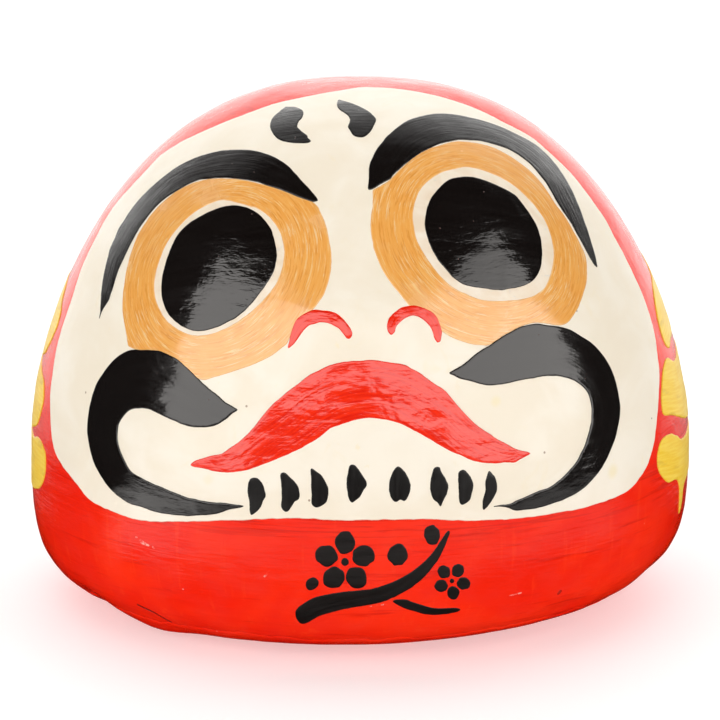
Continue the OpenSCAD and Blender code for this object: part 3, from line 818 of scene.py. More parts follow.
def mat_gold(name):
    M = Mat(name)
    v = M.noise(M.at((16, 0.9, 16), stroke=True), 3, 0.6, 0.3)
    v2 = M.noise(M.at((20, 3.0, 20), stroke=True, shift=(3, 3, 1)), 3, 0.55, 0.5)
    col = M.mix(M.span(v, 0.34, 0.66), (0.920, 0.590, 0.022), (0.975, 0.700, 0.085))
    col = M.mix(M.calc("MULTIPLY", M.span(v2, 0.58, 0.72), 0.45), col, (0.66, 0.40, 0.035))
    rim = M.span(M.edge(), 0.0, 0.5, 1.0, 0.0)
    col = M.mix(M.calc("MULTIPLY", rim, 0.5), col, (0.72, 0.30, 0.03))
    nrm = M.bump([(v, 0.05), (v2, 0.08)], 1.0)
    return M.done(col, 0.30, nrm, coat=0.0, spec=0.25)


def mat_paper(name, a, b, rough=0.8, fibre=0.05):
    M = Mat(name)
    pulp = M.noise(M.at((6, 6, 6)), 4, 0.6, 0.8)
    fib = M.noise(M.at((0.6, 4.0, 1.2)), 3, 0.6, 1.2)
    col = M.mix(M.span(pulp, 0.3, 0.7), a, b)
    col = M.mix(M.calc("MULTIPLY", M.span(fib, 0.56, 0.74), 0.4), col, tuple(x * 0.62 for x in a))
    nrm = M.bump([(fib, fibre), (pulp, fibre * 2)], 1.0)
    return M.done(col, rough, nrm)


RED = mat_red("red_lacquer")
RED_PASTED = mat_red("red_on_pasted_paper", 1.15)
CREAM = mat_cream("cream_face_paint")
WHITE = mat_white("eye_white_paint")
OCHRE = mat_ochre("ochre_ring_paint")
BLACK_EYE = mat_black("black_eye_enamel", ripple=0.12, hair=0.010, along=24, wide=1.1, fret=0.060, motes=0.8)
BLACK_BROW = mat_black("black_brow_enamel", ripple=0.06, hair=0.065, rough=0.17, wide=0.45, motes=0.4, coat=0.85)
BLACK_TASH = mat_black("black_moustache_enamel", ripple=0.08, hair=0.018, rough=0.14, fret=0.030, motes=0.4)
BLACK_DRY = mat_black("black_whisker_paint", ripple=0.05, hair=0.03, rough=0.34, coat=0.35, ior=1.5, along=8, wide=0.5)
BLACK_MATT = mat_black("black_belly_ink", ripple=0.05, hair=0.035, rough=0.5, coat=0.12, ior=1.5,
                       tint=(0.010, 0.006, 0.005), along=9, wide=0.6)
LIPS = mat_lips("red_lip_enamel")
GOLD = mat_gold("yellow_side_paint")
BARE = mat_paper("bare_foot_paper", (0.60, 0.50, 0.35), (0.72, 0.63, 0.48))
CARD = mat_paper("grey_card", (0.24, 0.19, 0.13), (0.33, 0.27, 0.20), 0.85)
CLAY = mat_paper("dry_clay", (0.20, 0.145, 0.10), (0.30, 0.23, 0.16), 0.9, 0.12)


def wear(ob, mat):
    ob.data.materials.clear()
    ob.data.materials.append(mat)


def piece(ob, mat, node):
    wear(ob, mat)
    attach(ob, "root")
    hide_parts(node)


# ------------------------------------------------------------------ the paper body
NCOL = 420
_rows = np.linspace(0, PS[-1], 206)[:-1]
_beta = np.interp(_rows, PS, PB)
_phi = np.linspace(-math.pi, math.pi, NCOL, endpoint=False)
BB, PP = np.meshgrid(_beta, _phi, indexing="ij")
OUT = surface(PP.ravel(), BB.ravel())
rows = [OUT.reshape(len(_beta), NCOL, 3)]


def ring_row(r, z):
    return np.stack([r * np.sin(_phi), -r * np.cos(_phi), np.full(NCOL, z)], 1)


under = [ring_row(r, z) for r, z in ((46.0, 9.0), (46.0, 3.1), (46.0, 1.6), (46.25, 0.85), (47.0, 0.62), (52.0, 0.6), (56.5, 0.6))]
wall_b = np.linspace(PB[0] + 0.12, PB[-1] - 0.03, 16)
inner = []
for b in wall_b[::-1]:
    bb = np.full(NCOL, b)
    inner.append(base_point(_phi, bb) - 2.4 * base_normal(_phi, bb))
grid = inner + under + [r for r in rows[0]]
nr = len(grid)
V = np.concatenate(grid)
top_id, in_id = len(V), len(V) + 1
V = np.concatenate([V, [surface(np.zeros(1), np.array([BETA1]))[0]], [[0, 0, H - 2.4]]])
F = []
for i in range(nr - 1):
    for j in range(NCOL):
        a, b = i * NCOL + j, i * NCOL + (j + 1) % NCOL
        F.append((a, b, b + NCOL, a + NCOL))
for j in range(NCOL):
    a, b = (nr - 1) * NCOL + j, (nr - 1) * NCOL + (j + 1) % NCOL
    F.append((a, b, top_id))
    F.append(((j + 1) % NCOL, j, in_id))
shell = new_mesh("paper_body", V, F)
piece(shell, RED, "paper_shell")


# ------------------------------------------------------------------ pasted paper: foot band and back strip
def strip_mesh(name, ph, be, h, sink, closed):
    """Closed sheet over a grid of bearings and elevations, each with its own thickness."""
    ni, nj = ph.shape
    f = lambda hh: lifted(ph.ravel(), be.ravel(), hh.ravel())
    V = np.concatenate([f(h), f(np.full_like(h, -sink))])
    N = ni * nj
    F = []
    cols = nj if closed else nj - 1
    for i in range(ni - 1):
        for j in range(cols):
            a, b = i * nj + j, i * nj + (j + 1) % nj
            F.append((a, b, b + nj, a + nj))
            F.append((N + a, N + a + nj, N + b + nj, N + b))
    for j in range(cols):
        a, b = j, (j + 1) % nj
        F.append((a, N + a, N + b, b))
        c, d = (ni - 1) * nj + j, (ni - 1) * nj + (j + 1) % nj
        F.append((c, d, N + d, N + c))
    if not closed:
        for i in range(ni - 1):
            a, b = i * nj, (i + 1) * nj
            F.append((a, b, N + b, N + a))
            c, d = a + nj - 1, b + nj - 1
            F.append((c, N + c, N + d, d))
    return new_mesh(name, V, F)


nj = 760
ph1 = np.linspace(-math.pi, math.pi, nj, endpoint=False)
circ = np.stack([np.sin(ph1) * 95, -np.cos(ph1) * 95, np.zeros(nj)], 1)
z_top = 7.6 + 1.9 * noise(circ, 34, 71, 2) + 0.75 * noise(circ, 7, 72, 3) + 0.35 * noise(circ, 2.2, 73, 2)
s_top = np.interp(z_top, PROF[:, 1], PS)
k = np.linspace(0, 1, 26)
k = np.concatenate([k[:-1], [0.985, 1.0]])
S = 1.2 + (s_top[None] - 1.2) * k[:, None]
BEb = np.interp(S, PS, PB)
PHb = np.repeat(ph1[None], len(k), 0)
gap = (s_top[None] - S)
hb = 0.25 * (1 - np.exp(-(gap / 0.55) ** 1.2)) * sstep(0, 0.08, k)[:, None] + 0.02
q = np.stack([np.sin(PHb) * 95, -np.cos(PHb) * 95, S], -1).reshape(-1, 3)
hb = hb + (0.04 * noise(q, (8, 8, 5), 75, 3).reshape(hb.shape)) * sstep(0.2, 2.0, gap)
hb = np.maximum(hb, 0.02)
band = strip_mesh("foot_lap", PHb, BEb, hb, 0.12, True)
piece(band, RED_PASTED, "foot_band")

sv = np.linspace(np.interp(9.9, PROF[:, 1], PS), np.interp(140.0, PROF[:, 1], PS), 190)
uv = np.concatenate([[-1, -0.985], np.linspace(-0.95, 0.95, 27), [0.985, 1]])
line = np.stack([np.zeros(len(sv)), np.zeros(len(sv)), sv], 1)
left = -8.2 + 0.55 * noise(line, 26, 81, 2) + 0.28 * noise(line, 4.5, 82, 3)
right = 8.2 + 0.55 * noise(line, 24, 83, 2) + 0.28 * noise(line, 4.0, 84, 3)
W = left[:, None] + (right - left)[:, None] * (uv[None] + 1) / 2
endw = np.minimum(sv - sv[0], sv[-1] - sv)
wob = 1.2 * noise(np.stack([W[-1], W[-1] * 0, W[-1] * 0], 1), 3.0, 85, 3)
Sg = sv[:, None] + np.where(sv[:, None] > sv[-8], wob[None] * (sv[:, None] - sv[-8]) / (sv[-1] - sv[-8]), 0)
BEs = np.interp(Sg, PS, PB)
Rg = np.interp(Sg, PS, PROF[:, 0])
PHs = math.pi + W / np.maximum(Rg, 20)
side_gap = np.minimum(W - left[:, None], right[:, None] - W)
side_gap = np.minimum(side_gap, endw[:, None])
hs = 0.5 * (1 - np.exp(-(side_gap / 0.5) ** 1.2)) + 0.02
hs += 0.16 * np.exp(-((W - 0.3 * noise(np.repeat(line, W.shape[1], 0), 18, 86).reshape(W.shape)) / 1.0) ** 2) * -1.0   # sinks into the slit
q = np.stack([W, W * 0, Sg], -1).reshape(-1, 3)
hs += 0.10 * noise(q, (4, 4, 9), 87, 3).reshape(W.shape) * sstep(0.2, 1.6, side_gap)
hs = np.maximum(hs, 0.02)
strip = strip_mesh("back_strip", PHs, BEs, hs, 0.12, False)
piece(strip, RED_PASTED, "back_seam_strip")

# outlines on the drawing sheet: X right, Y up, 0.319 mm to the unit
SHEET = {
    "face": [(0, 246), (16, 246), (49, 243), (83, 236), (118, 224), (140, 213), (152, 207), (170, 197),
        (187, 183), (210, 161), (232, 133), (245, 114), (256, 93), (267, 72), (277, 51), (285, 31),
        (291, 12), (296, -12), (299, -41), (298, -66), (296, -91), (293, -112), (287, -131), (280, -143),
        (269, -156), (254, -164), (240, -169), (220, -175), (200, -178.5), (180, -182), (160, -184.5),
        (140, -186), (108, -187), (72, -185.5), (26, -186), (-19, -186.5), (-65, -184.5), (-110, -186),
        (-156, -187.5), (-190, -188), (-210, -187.5), (-230, -184), (-250, -176.5), (-270, -166),
        (-285, -147.5), (-299, -129), (-306, -113), (-309, -86), (-309, -58), (-305.5, -30), (-299, 0),
        (-288, 34), (-276, 70), (-264, 95), (-253, 116), (-241, 133), (-216, 160.5), (-198, 179),
        (-179, 191.5), (-156, 202.5), (-122, 216.5), (-88, 229), (-53, 237), (-19, 243)],
    "brow_left": [(-260, 15), (-259, 22), (-258.5, 34), (-256.5, 54), (-252, 74), (-249.5, 84), (-245, 94),
        (-241, 104), (-234.5, 114), (-228, 124), (-220, 134), (-210.5, 144), (-199, 154), (-186, 164),
        (-178, 169), (-164, 175.5), (-150, 180), (-135, 183), (-120, 183.5), (-108, 183), (-95, 180),
        (-83, 175), (-71, 167), (-60, 155), (-50, 144), (-42, 134), (-44, 132), (-49, 132), (-60, 136),
        (-70, 140), (-80, 144), (-90, 147), (-102, 151), (-115, 153.5), (-128, 155), (-140, 155.5),
        (-150, 154.5), (-160, 153.5), (-170, 149.5), (-180, 144), (-190, 138), (-200, 130), (-210, 119),
        (-220, 105), (-230, 87), (-236, 74), (-240.5, 64), (-244, 54), (-247, 44), (-250.5, 34), (-257, 23)],
    "ring_left": [(-139, 155), (-120, 154), (-100, 150), (-80, 144), (-60, 136), (-48, 132), (-42, 126),
        (-38, 118), (-34, 108), (-31, 96), (-29, 84), (-28.5, 72), (-30, 59), (-33, 47), (-38, 36),
        (-46, 25), (-60, 16), (-64, 8), (-70, -4), (-73, -10), (-80, -16), (-90, -23), (-102, -29),
        (-115, -34), (-130, -39), (-145, -43), (-157, -46), (-172, -40), (-188, -30), (-202, -20),
        (-220, -17), (-230, -13), (-232, -9), (-234, 4), (-236, 14), (-237, 24), (-237, 34), (-236, 44),
        (-234.5, 54), (-233, 64), (-230, 76), (-226, 88), (-222, 98), (-216, 108), (-209, 118), (-200, 128),
        (-190, 137), (-180, 144), (-170, 149), (-160, 152.5), (-150, 154.5)],
    "ring_left_in": [(-135, 133), (-110, 127), (-98, 122), (-88, 113), (-81, 103), (-77, 91), (-76, 79),
        (-78, 66), (-82, 54), (-88, 44), (-98, 32), (-110, 21), (-122, 12), (-135, 5), (-148, 0),
        (-160, -1.5), (-172, 0), (-184, 6), (-193, 14), (-200, 25), (-204, 37), (-205, 49), (-203, 62),
        (-199, 75), (-194, 87), (-188, 97), (-180, 107), (-170, 117), (-160, 124), (-148, 130)],
    "pupil_left": [(-130, 128), (-122, 128), (-113, 126), (-105, 122), (-98, 117), (-93, 111), (-89, 105),
        (-86, 96), (-84, 87), (-83, 78), (-84, 69), (-86, 62), (-91, 53), (-97, 44), (-104, 35), (-112, 26),
        (-121, 18), (-131, 12), (-141, 7), (-152, 3.5), (-160, 2.5), (-168, 3.5), (-177, 7), (-185, 13),
        (-192, 21), (-196, 30), (-198, 40), (-198, 50), (-196.5, 60), (-194, 70), (-190, 82), (-186, 91),
        (-180, 101), (-172, 109), (-163, 115), (-152, 121), (-141, 125.5)],
    "brow_right": [(8, 144), (8.5, 154), (9, 166), (12, 175), (16, 183), (21, 190), (29, 199), (40, 208),
        (51, 214), (61, 217), (72, 219), (83, 219.5), (95, 218.5), (108, 216), (122, 212.5), (136, 208),
        (150, 202), (164, 195), (177, 187), (188, 177), (198, 165), (207, 151), (215, 135), (221, 120),
        (226, 106), (230, 93), (234, 80), (236.5, 68), (236, 66.5), (232, 71), (227, 80), (221, 91),
        (216, 100), (210, 111), (203, 121), (196, 132), (190, 143), (185, 151), (177, 161), (170, 169),
        (160, 177), (150, 183), (140, 187), (122, 192), (110, 193), (100, 193.5), (90, 192), (80, 189.5),
        (70, 185), (60, 180), (52, 174), (45, 169), (40, 164.5), (33, 158), (30, 154), (20, 149), (14, 145)],
    "ring_right": [(13, 143), (13, 134), (12, 124), (10.5, 112), (11, 100), (13, 88), (17, 76), (22, 64),
        (29, 53), (38, 42), (45, 33), (52, 24), (70, 9), (81, 3), (90, -3), (100, -7), (110, -10),
        (122, -11.5), (129, -11), (145, -1), (160, 7), (175, 11), (185, 10.5), (192, 9), (201, 8.5),
        (208, 12), (214, 20), (219, 29), (223, 40), (226, 51), (226.5, 62), (226, 72), (224, 80), (219, 91),
        (212, 104), (203, 119), (196, 128), (187, 142), (178, 154), (168, 164), (156, 173), (143, 181),
        (130, 187), (115, 190.5), (100, 192), (90, 191), (80, 188), (70, 185), (60, 180), (50, 173),
        (40, 164), (30, 154), (20, 147)],
    "ring_right_in": [(95, 164), (105, 166), (118, 164), (130, 160), (143, 154), (155, 146), (166, 136),
        (176, 125), (184, 113), (189, 101), (192, 88), (193, 76), (191, 64), (188, 54), (183, 45), (175, 39),
        (164, 35), (150, 33.5), (135, 33), (120, 34.5), (105, 40), (92, 47), (81, 57), (72, 68), (64, 80),
        (57, 93), (54, 106), (53, 120), (55, 131), (60, 143), (67, 151), (75, 157), (85, 162)],
    "pupil_right": [(97, 156), (108, 157), (120, 154.5), (132, 150), (144, 144.5), (155, 138), (161, 131),
        (167, 123), (172, 115), (177, 106), (180, 96), (181.5, 85), (181.5, 75), (180, 66), (176, 57),
        (170, 51), (162, 47.5), (151, 45), (142, 43.5), (131, 44), (122, 45.5), (112, 47), (102, 50),
        (93, 56), (86, 64), (79, 72), (74, 80), (69, 90), (66, 100), (64.5, 110), (66, 121), (69, 132),
        (74, 140), (80, 147), (88, 153.5)],
    "moustache_left": [(-122, -76), (-128, -72), (-134, -68.5), (-140, -63), (-150, -55), (-160, -46),
        (-170, -36), (-180, -27), (-189, -21.5), (-200, -17), (-210, -16), (-220, -16), (-228, -16),
        (-235, -18.5), (-242, -23), (-250, -31), (-256, -39), (-262, -48.5), (-266, -59), (-269, -70),
        (-271, -82), (-272, -94), (-271.5, -102), (-269, -116), (-266, -127), (-262, -136), (-256, -146),
        (-248, -156), (-239, -164), (-229, -170), (-218, -173), (-208, -177), (-197, -179.5), (-185, -181),
        (-172, -182), (-160, -181.5), (-150, -181), (-140, -179), (-132, -176), (-125, -174.5), (-117, -173),
        (-117, -171.5), (-125, -170.5), (-135, -169), (-148, -168), (-160, -166), (-173, -163),
        (-185, -158.5), (-197, -153.5), (-208, -149), (-218, -144), (-227, -138.5), (-231, -134),
        (-235, -126), (-239, -117), (-241.5, -107), (-241.5, -96), (-240, -89), (-236, -82.5), (-231, -77.5),
        (-226, -75), (-218, -74.5), (-211, -75.5), (-205, -78), (-197, -82), (-188, -86), (-178, -90),
        (-168, -93), (-159, -93.5), (-149, -93), (-141, -90), (-134, -85.5), (-128, -80)],
    "moustache_right": [(89, -39), (97, -34), (105, -29), (112, -23), (121, -16), (130, -11), (140, -4),
        (150, 2), (160, 7), (170, 9.5), (178, 10), (188, 8.5), (200, 7), (210, 4), (220, -2), (230, -8.5),
        (238, -16), (246, -27), (252, -39), (256, -52), (258.5, -65), (259.5, -74), (258.5, -87),
        (255, -103), (250, -116), (245, -127), (238, -138.5), (230, -148), (221, -156), (211, -162),
        (200, -167), (188, -171), (175, -174.5), (162, -176), (155, -176.5), (148, -174), (140, -172.5),
        (133, -172.5), (140, -171), (150, -169.5), (157, -166), (167, -162), (178, -157), (189, -153),
        (200, -145), (208, -137), (215, -129), (221, -118), (226, -106), (229.5, -93), (231, -80),
        (230, -68), (227, -59), (221, -52), (214, -47), (206, -44), (198, -42.5), (189, -42), (180, -43),
        (170, -45), (158, -47), (148, -49.5), (137, -51), (127, -51.5), (118, -49.5), (110, -47), (101, -45),
        (94, -42)],
    "mouth": [(-169, -131), (-166, -127.5), (-160, -125), (-149, -122), (-139, -120), (-130, -114),
        (-120, -107), (-110, -97.5), (-102, -88), (-94, -78), (-85, -68.5), (-75, -60), (-64, -51.5),
        (-55, -44.5), (-47, -39), (-40, -36), (-32, -32), (-23, -29.5), (-10, -27.5), (0, -27), (10, -26),
        (20, -27), (32, -29), (45, -31), (52, -35), (60, -39.5), (70, -46.5), (78, -52), (85, -57),
        (92, -65), (100, -74.5), (106, -81), (112, -87), (119, -93), (128, -99), (136, -104.5), (145, -109),
        (153, -114), (160, -116.5), (168, -118), (170, -120), (165, -123), (158, -126.5), (154, -128.5),
        (145, -128.5), (135, -129.5), (125, -129), (118, -128), (110, -126), (101, -121.5), (90, -117),
        (80, -111.5), (70, -105.5), (60, -100), (50, -94.5), (40, -89.5), (30, -86.5), (20, -85), (10, -84),
        (0, -85), (-10, -87.5), (-20, -91), (-30, -95), (-40, -103), (-50, -109), (-60, -115), (-70, -119.5),
        (-80, -124), (-90, -128), (-108, -134.5), (-120, -137.5), (-132, -138.5), (-145, -137.5),
        (-152, -135.5), (-160, -134), (-166, -133)],
    "nostril_left": [(-72, -14), (-70, -4), (-68, 4), (-65, 12), (-60, 17.5), (-53, 21.5), (-46, 24),
        (-38, 23.5), (-30, 22.5), (-23, 20), (-17, 15), (-12, 9.5), (-8.5, 4), (-7.5, -0.5), (-10, -4.5),
        (-13, -4.5), (-17, 0), (-21, 5), (-26, 8), (-32, 10.5), (-39, 11.5), (-45, 10), (-51, 8), (-56, 3.5),
        (-60, -2), (-65, -9), (-69, -13)],
    "nostril_right": [(31, -1), (28, 2.5), (27, 8), (28, 14), (31, 18), (36, 22.5), (41, 26), (47, 27.5),
        (53, 28.5), (60, 27), (67, 24.5), (73, 21), (77, 16), (80, 9), (81.5, 3), (81, -3), (80, -7.5),
        (77, -8.5), (74, -4), (72.5, 2), (70, 7), (66, 11.5), (61, 15.5), (56, 17.5), (51, 18), (45, 15.5),
        (40, 11.5), (36, 7), (34.5, 2)],
    "whisk_1": [(-107, -144), (-102, -144.5), (-98, -149), (-95, -156), (-94, -162), (-97, -167),
        (-99, -173), (-104, -178), (-108, -181), (-110, -178), (-110.5, -166), (-112, -158), (-111.5, -151),
        (-110, -146)],
    "whisk_2": [(-79, -140), (-75, -138.5), (-70, -143), (-65, -148), (-62, -153), (-60.5, -159),
        (-61, -165), (-65, -168), (-68, -172.5), (-73, -177.5), (-77, -176), (-79, -172), (-78.5, -164),
        (-79, -148)],
    "whisk_3": [(-49, -135), (-44, -137), (-39, -141), (-35, -147), (-32, -154), (-31.5, -161), (-33, -167),
        (-37, -171), (-43, -173.5), (-47, -171), (-48.5, -165), (-49, -146)],
    "whisk_4": [(-10, -132), (-6, -131), (-2, -135), (3, -142), (7, -150), (4, -156), (0, -163),
        (-4, -166.5), (-8, -168.5), (-11, -165), (-12.5, -158), (-13.5, -150), (-12, -141)],
    "whisk_5": [(38, -132.5), (43, -136), (48, -143), (50.5, -150), (50, -157), (47, -164), (44, -167),
        (40, -166), (36, -168), (32, -165), (29.5, -158), (29, -151), (30.5, -143), (34, -136)],
    "whisk_6": [(74, -134.5), (79, -133.5), (81, -138), (85, -144), (88, -151), (87, -159), (84, -166),
        (80.5, -172.5), (77, -168.5), (73, -165), (70.5, -158), (70, -151), (71.5, -143)],
    "whisk_7": [(99, -138), (103, -136), (107, -138.5), (111, -144), (113, -151), (112, -158), (110, -165),
        (106, -169), (101, -170.5), (99, -166), (98.5, -158), (98, -143)],
    "whisk_8": [(129, -137), (132, -140), (135, -144), (137, -151), (136, -158), (132, -166), (127, -173),
        (123.5, -176), (122, -173), (123, -165), (125, -156), (125.5, -147), (127, -140)],
    "brush_l": [(-72, 226.5), (-64, 226), (-58, 223.5), (-56.5, 220), (-58, 215), (-61, 212), (-62.5, 207),
        (-59, 203), (-53, 198), (-52, 195.5), (-49, 192.5), (-52, 190.5), (-60, 190), (-68, 190.5),
        (-76, 192), (-82, 194.5), (-87, 200), (-89.5, 206), (-89, 212), (-86, 217), (-80, 222), (-75, 226)],
    "brush_r": [(-21, 233.5), (-17, 232.5), (-10, 230.5), (-2, 227.5), (5, 224), (11, 220), (16, 214),
        (14, 208), (11, 202.5), (6, 197.5), (1, 196), (-6, 197.5), (-10, 203), (-12, 207), (-10, 213),
        (-12, 217.5), (-16, 220.5), (-21, 224), (-23, 228), (-22.5, 232)],
}


def mid(A, B):
    return [((a[0] + b[0]) / 2, (a[1] + b[1]) / 2) for a, b in zip(A, B)]


FACE_H = 0.22


def one(name, key, under_h, thick, gridw, mat, node, slot_name, path=None, step=0.5, rough=0.09, seed=0, **kw):
    L = outline(SHEET[key], FRONT, step, rough, seed)
    p = film_parts(L, FRONT, under_h, thick, gridw, path=sheet_path(path) if path else None, seed=seed, **kw)
    ob = join_parts(name, [p])
    piece(ob, mat, node)
    return ob


one("face_paint", "face", 0.0, FACE_H, 1.25, CREAM, "face_coat", "cream_coat", step=0.7, rough=0.16, seed=1, lump=0.02)

MID = {
    "brow_left": [(-259, 14), (-253, 42), (-246, 70), (-233, 98), (-215, 124), (-191, 149), (-160, 164),
                  (-128, 170), (-100, 167), (-78, 157), (-58, 145), (-43, 133)],
    "brow_right": [(8, 144), (18, 161), (34, 181), (55, 198), (83, 206), (112, 205), (142, 197), (168, 183),
                   (191, 161), (209, 129), (223, 98), (236, 67)],
    "moustache_left": [(-121, -76), (-136, -76), (-153, -71), (-174, -62), (-193, -52), (-211, -45), (-228, -46),
                       (-241, -53), (-250, -67), (-256, -86), (-257, -105), (-252, -124), (-243, -141),
                       (-229, -153), (-210, -163), (-185, -171), (-155, -175), (-131, -174), (-116, -172)],
    "moustache_right": [(89, -39), (105, -38), (124, -33), (145, -26), (165, -20), (186, -16), (204, -19),
                        (220, -27), (233, -40), (243, -57), (246, -75), (243, -97), (235, -121), (219, -143),
                        (198, -158), (173, -168), (152, -173), (134, -172)],
    "mouth": [(-169, -131), (-152, -130), (-132, -128), (-110, -118), (-88, -102), (-66, -86), (-44, -70),
              (-20, -59), (9, -55), (37, -59), (61, -71), (84, -86), (108, -105), (136, -118), (156, -121),
              (170, -119)],
    "nostril_left": [(-72, -13), (-66, -4), (-59, 8), (-52, 14), (-43, 18), (-33, 17), (-22, 12), (-15, 4), (-10, -4)],
    "nostril_right": [(29, 0), (32, 9), (36, 16), (43, 21), (53, 23), (63, 20), (71, 12), (76, 2), (78, -8)],
}

# eyes: white, ring and pupil
for side, s0 in (("left", 3), ("right", 4)):
    hole = outline(SHEET["ring_%s_in" % side], FRONT, 0.5, 0.10, s0)
    grown = outline(SHEET["ring_%s_in" % side], FRONT, 0.6, 0.0, s0)
    c = grown.mean(0)
    grown = c + (grown - c) * 1.02
    p = film_parts(grown, FRONT, FACE_H, 0.05, 1.2, seed=s0)
    piece(join_parts("eye_white_paint_" + side, [p]), WHITE, "eye_white_" + side)
    L = outline(SHEET["ring_" + side], FRONT, 0.55, 0.11, s0 + 4)
    p = film_parts(L, FRONT, FACE_H, 0.12, 1.05, hole=hole, ring=c, seed=s0)
    piece(join_parts("eye_ring_paint_" + side, [p]), OCHRE, "eye_ring_" + side)
    L = outline(SHEET["pupil_" + side], FRONT, 0.5, 0.10, s0 + 8)
    p = film_parts(L, FRONT, FACE_H + 0.05, 0.17, 1.0, seed=s0, lump=0.015)
    piece(join_parts("pupil_paint_" + side, [p]), BLACK_EYE, "pupil_" + side)

for side, s0 in (("left", 21), ("right", 22)):
    one("brow_paint_" + side, "brow_" + side, FACE_H, 0.22, 0.8, BLACK_BROW, "brow_" + side, "black_gloss",
        path=MID["brow_" + side], step=0.45, seed=s0, lump=0.02)
    one("moustache_paint_" + side, "moustache_" + side, FACE_H, 0.24, 0.8, BLACK_TASH, "moustache_" + side,
        "black_gloss", path=MID["moustache_" + side], step=0.45, seed=s0 + 4, lump=0.015)
    one("nostril_paint_" + side, "nostril_" + side, FACE_H, 0.16, 0.6, LIPS, "nostril_" + side, "red_gloss",
        path=MID["nostril_" + side], step=0.35, rough=0.08, seed=s0 + 8)
one("mouth_paint", "mouth", FACE_H, 0.22, 0.85, LIPS, "mouth", "red_gloss", path=MID["mouth"], step=0.45,
    seed=31, lump=0.02)

parts = []
for key in ("brush_l", "brush_r"):
    L = outline(SHEET[key], FRONT, 0.4, 0.08, 33)
    parts.append(film_parts(L, FRONT, FACE_H, 0.15, 0.7, seed=5))
piece(join_parts("forehead_dabs", parts), BLACK_BROW, "forehead_marks")
parts = []
for i in range(8):
    L = outline(SHEET["whisk_%d" % (i + 1)], FRONT, 0.30, 0.13, 34 + i)
    c = L.mean(0)
    parts.append(film_parts(L, FRONT, FACE_H, 0.13, 0.6, path=np.array([c + (0.2, 9), c - (0.2, 9)]), seed=i))
piece(join_parts("chin_dabs", parts), BLACK_DRY, "chin_whiskers")

# side strokes: bearing, height
GOLD_R = [
    [(86, 102, 0), (81, 100, 0), (77.5, 97.5, 0), (75.1, 94, 0), (73.7, 89.2, 0), (74, 84, 0), (76.5, 82, 0),
     (79.2, 83.6, 0), (84, 84.5, 0), (92, 90, 0), (101, 98, 0), (109, 108, 0), (112, 115, 0), (108, 115, 0),
     (99, 109, 0), (92, 105, 0)],
    [(78, 77.5, 0), (72.5, 80.2, 0), (68.3, 77.7, 0), (66.1, 73.5, 0), (64.7, 69, 0), (65, 65.3, 0), (70, 63.1, 0),
     (79, 58.5, 0), (87, 57.5, 0), (96, 61, 0), (105, 69, 0), (111, 79, 0), (113, 86, 0), (108, 84, 0),
     (98, 80.5, 0), (88, 79, 0)],
    [(66.9, 58.5, 0), (70.4, 56.5, 0), (73.8, 54.0, 0), (80, 54.0, 0), (90, 55, 0), (101, 58, 0), (110, 63, 0),
     (112, 61, 0), (104, 51, 0), (95, 44.5, 0), (86, 40.5, 0), (78, 38.5, 0), (75.2, 36.8, 0), (74.6, 32, 0),
     (73.3, 28.6, 0), (72.6, 32, 0), (71.8, 38.0, 0), (70.2, 41.5, 0), (66.9, 42.6, 0), (64.9, 43.2, 0),
     (62.1, 46.5, 0), (60.4, 50.9, 0), (60.6, 55.3, 0), (62.7, 58.4, 0)],
]
GOLD_L = [
    [(-86, 99, 0), (-81.6, 95.6, 0), (-78.2, 93, 0), (-76.8, 89.6, 0), (-77.3, 86, 0), (-79.3, 81.8, 0),
     (-83, 77.6, 0), (-90, 76.5, 0), (-99, 83, 0), (-107, 94, 0), (-113, 106, 0), (-108, 106, 0), (-98, 102, 0)],
    [(-84, 74.5, 0), (-79.7, 73.0, 0), (-75.6, 71.5, 0), (-73.5, 67.5, 0), (-73.5, 63.5, 0), (-75.5, 59.0, 0),
     (-78.5, 56.3, 0), (-86, 54, 0), (-96, 57, 0), (-105, 65, 0), (-113, 78, 0), (-108, 78.5, 0), (-96, 76, 0)],
    [(-80, 53.0, 0), (-75.5, 54.4, 0), (-71.6, 54.3, 0), (-69.0, 52, 0), (-68.5, 48.3, 0), (-69.6, 43.8, 0),
     (-72.7, 39.9, 0), (-76.6, 38.0, 0), (-82, 36.5, 0), (-92, 37.5, 0), (-103, 43, 0), (-112, 54, 0),
     (-107, 55.5, 0), (-93, 54.5, 0)],
]
GOLD_PATHS = {
    1: [[(74, 88), (84, 92), (98, 101), (112, 114)], [(65, 71), (80, 68), (98, 71), (113, 84)],
        [(60, 50), (76, 47), (95, 50), (112, 62)]],
    -1: [[(-76, 88), (-88, 87), (-99, 93), (-113, 106)], [(-73, 65), (-86, 64), (-99, 67), (-113, 78)],
         [(-68, 47), (-82, 46), (-97, 47), (-112, 54)]],
}
for side, sgn, rows_, ch in (("left", -1, GOLD_L, LSIDE), ("right", 1, GOLD_R, RSIDE)):
    parts = []
    for i, pts in enumerate(rows_):
        L = outline(pts, ch, 0.5, 0.12, 50 + i + 3 * (sgn > 0))
        pp = GOLD_PATHS[sgn][i]
        ph = np.radians([a for a, _ in pp])
        be = np.interp([b for _, b in pp], PROF[:, 1], PB)
        parts.append(film_parts(L, ch, 0.0, 0.24, 1.0, path=spline(to_chart(ph, be, ch), 1.5, closed=False), seed=i, lump=0.02))
    piece(join_parts("side_paint_" + side, parts), GOLD, "gold_strokes_" + side)

# plum sprig on the belly
BOUGH = ([(-64, -277), (-46, -264), (-18, -258), (16, -254), (46, -241), (70, -222), (86, -199)],
         [(-58, -290), (-38, -281), (-10, -274), (22, -268), (54, -252), (76, -229), (89, -201)])
TWIG = ([(33, -268), (50, -276), (72, -281), (97, -278)], [(42, -265), (56, -269), (74, -274), (98, -274)])


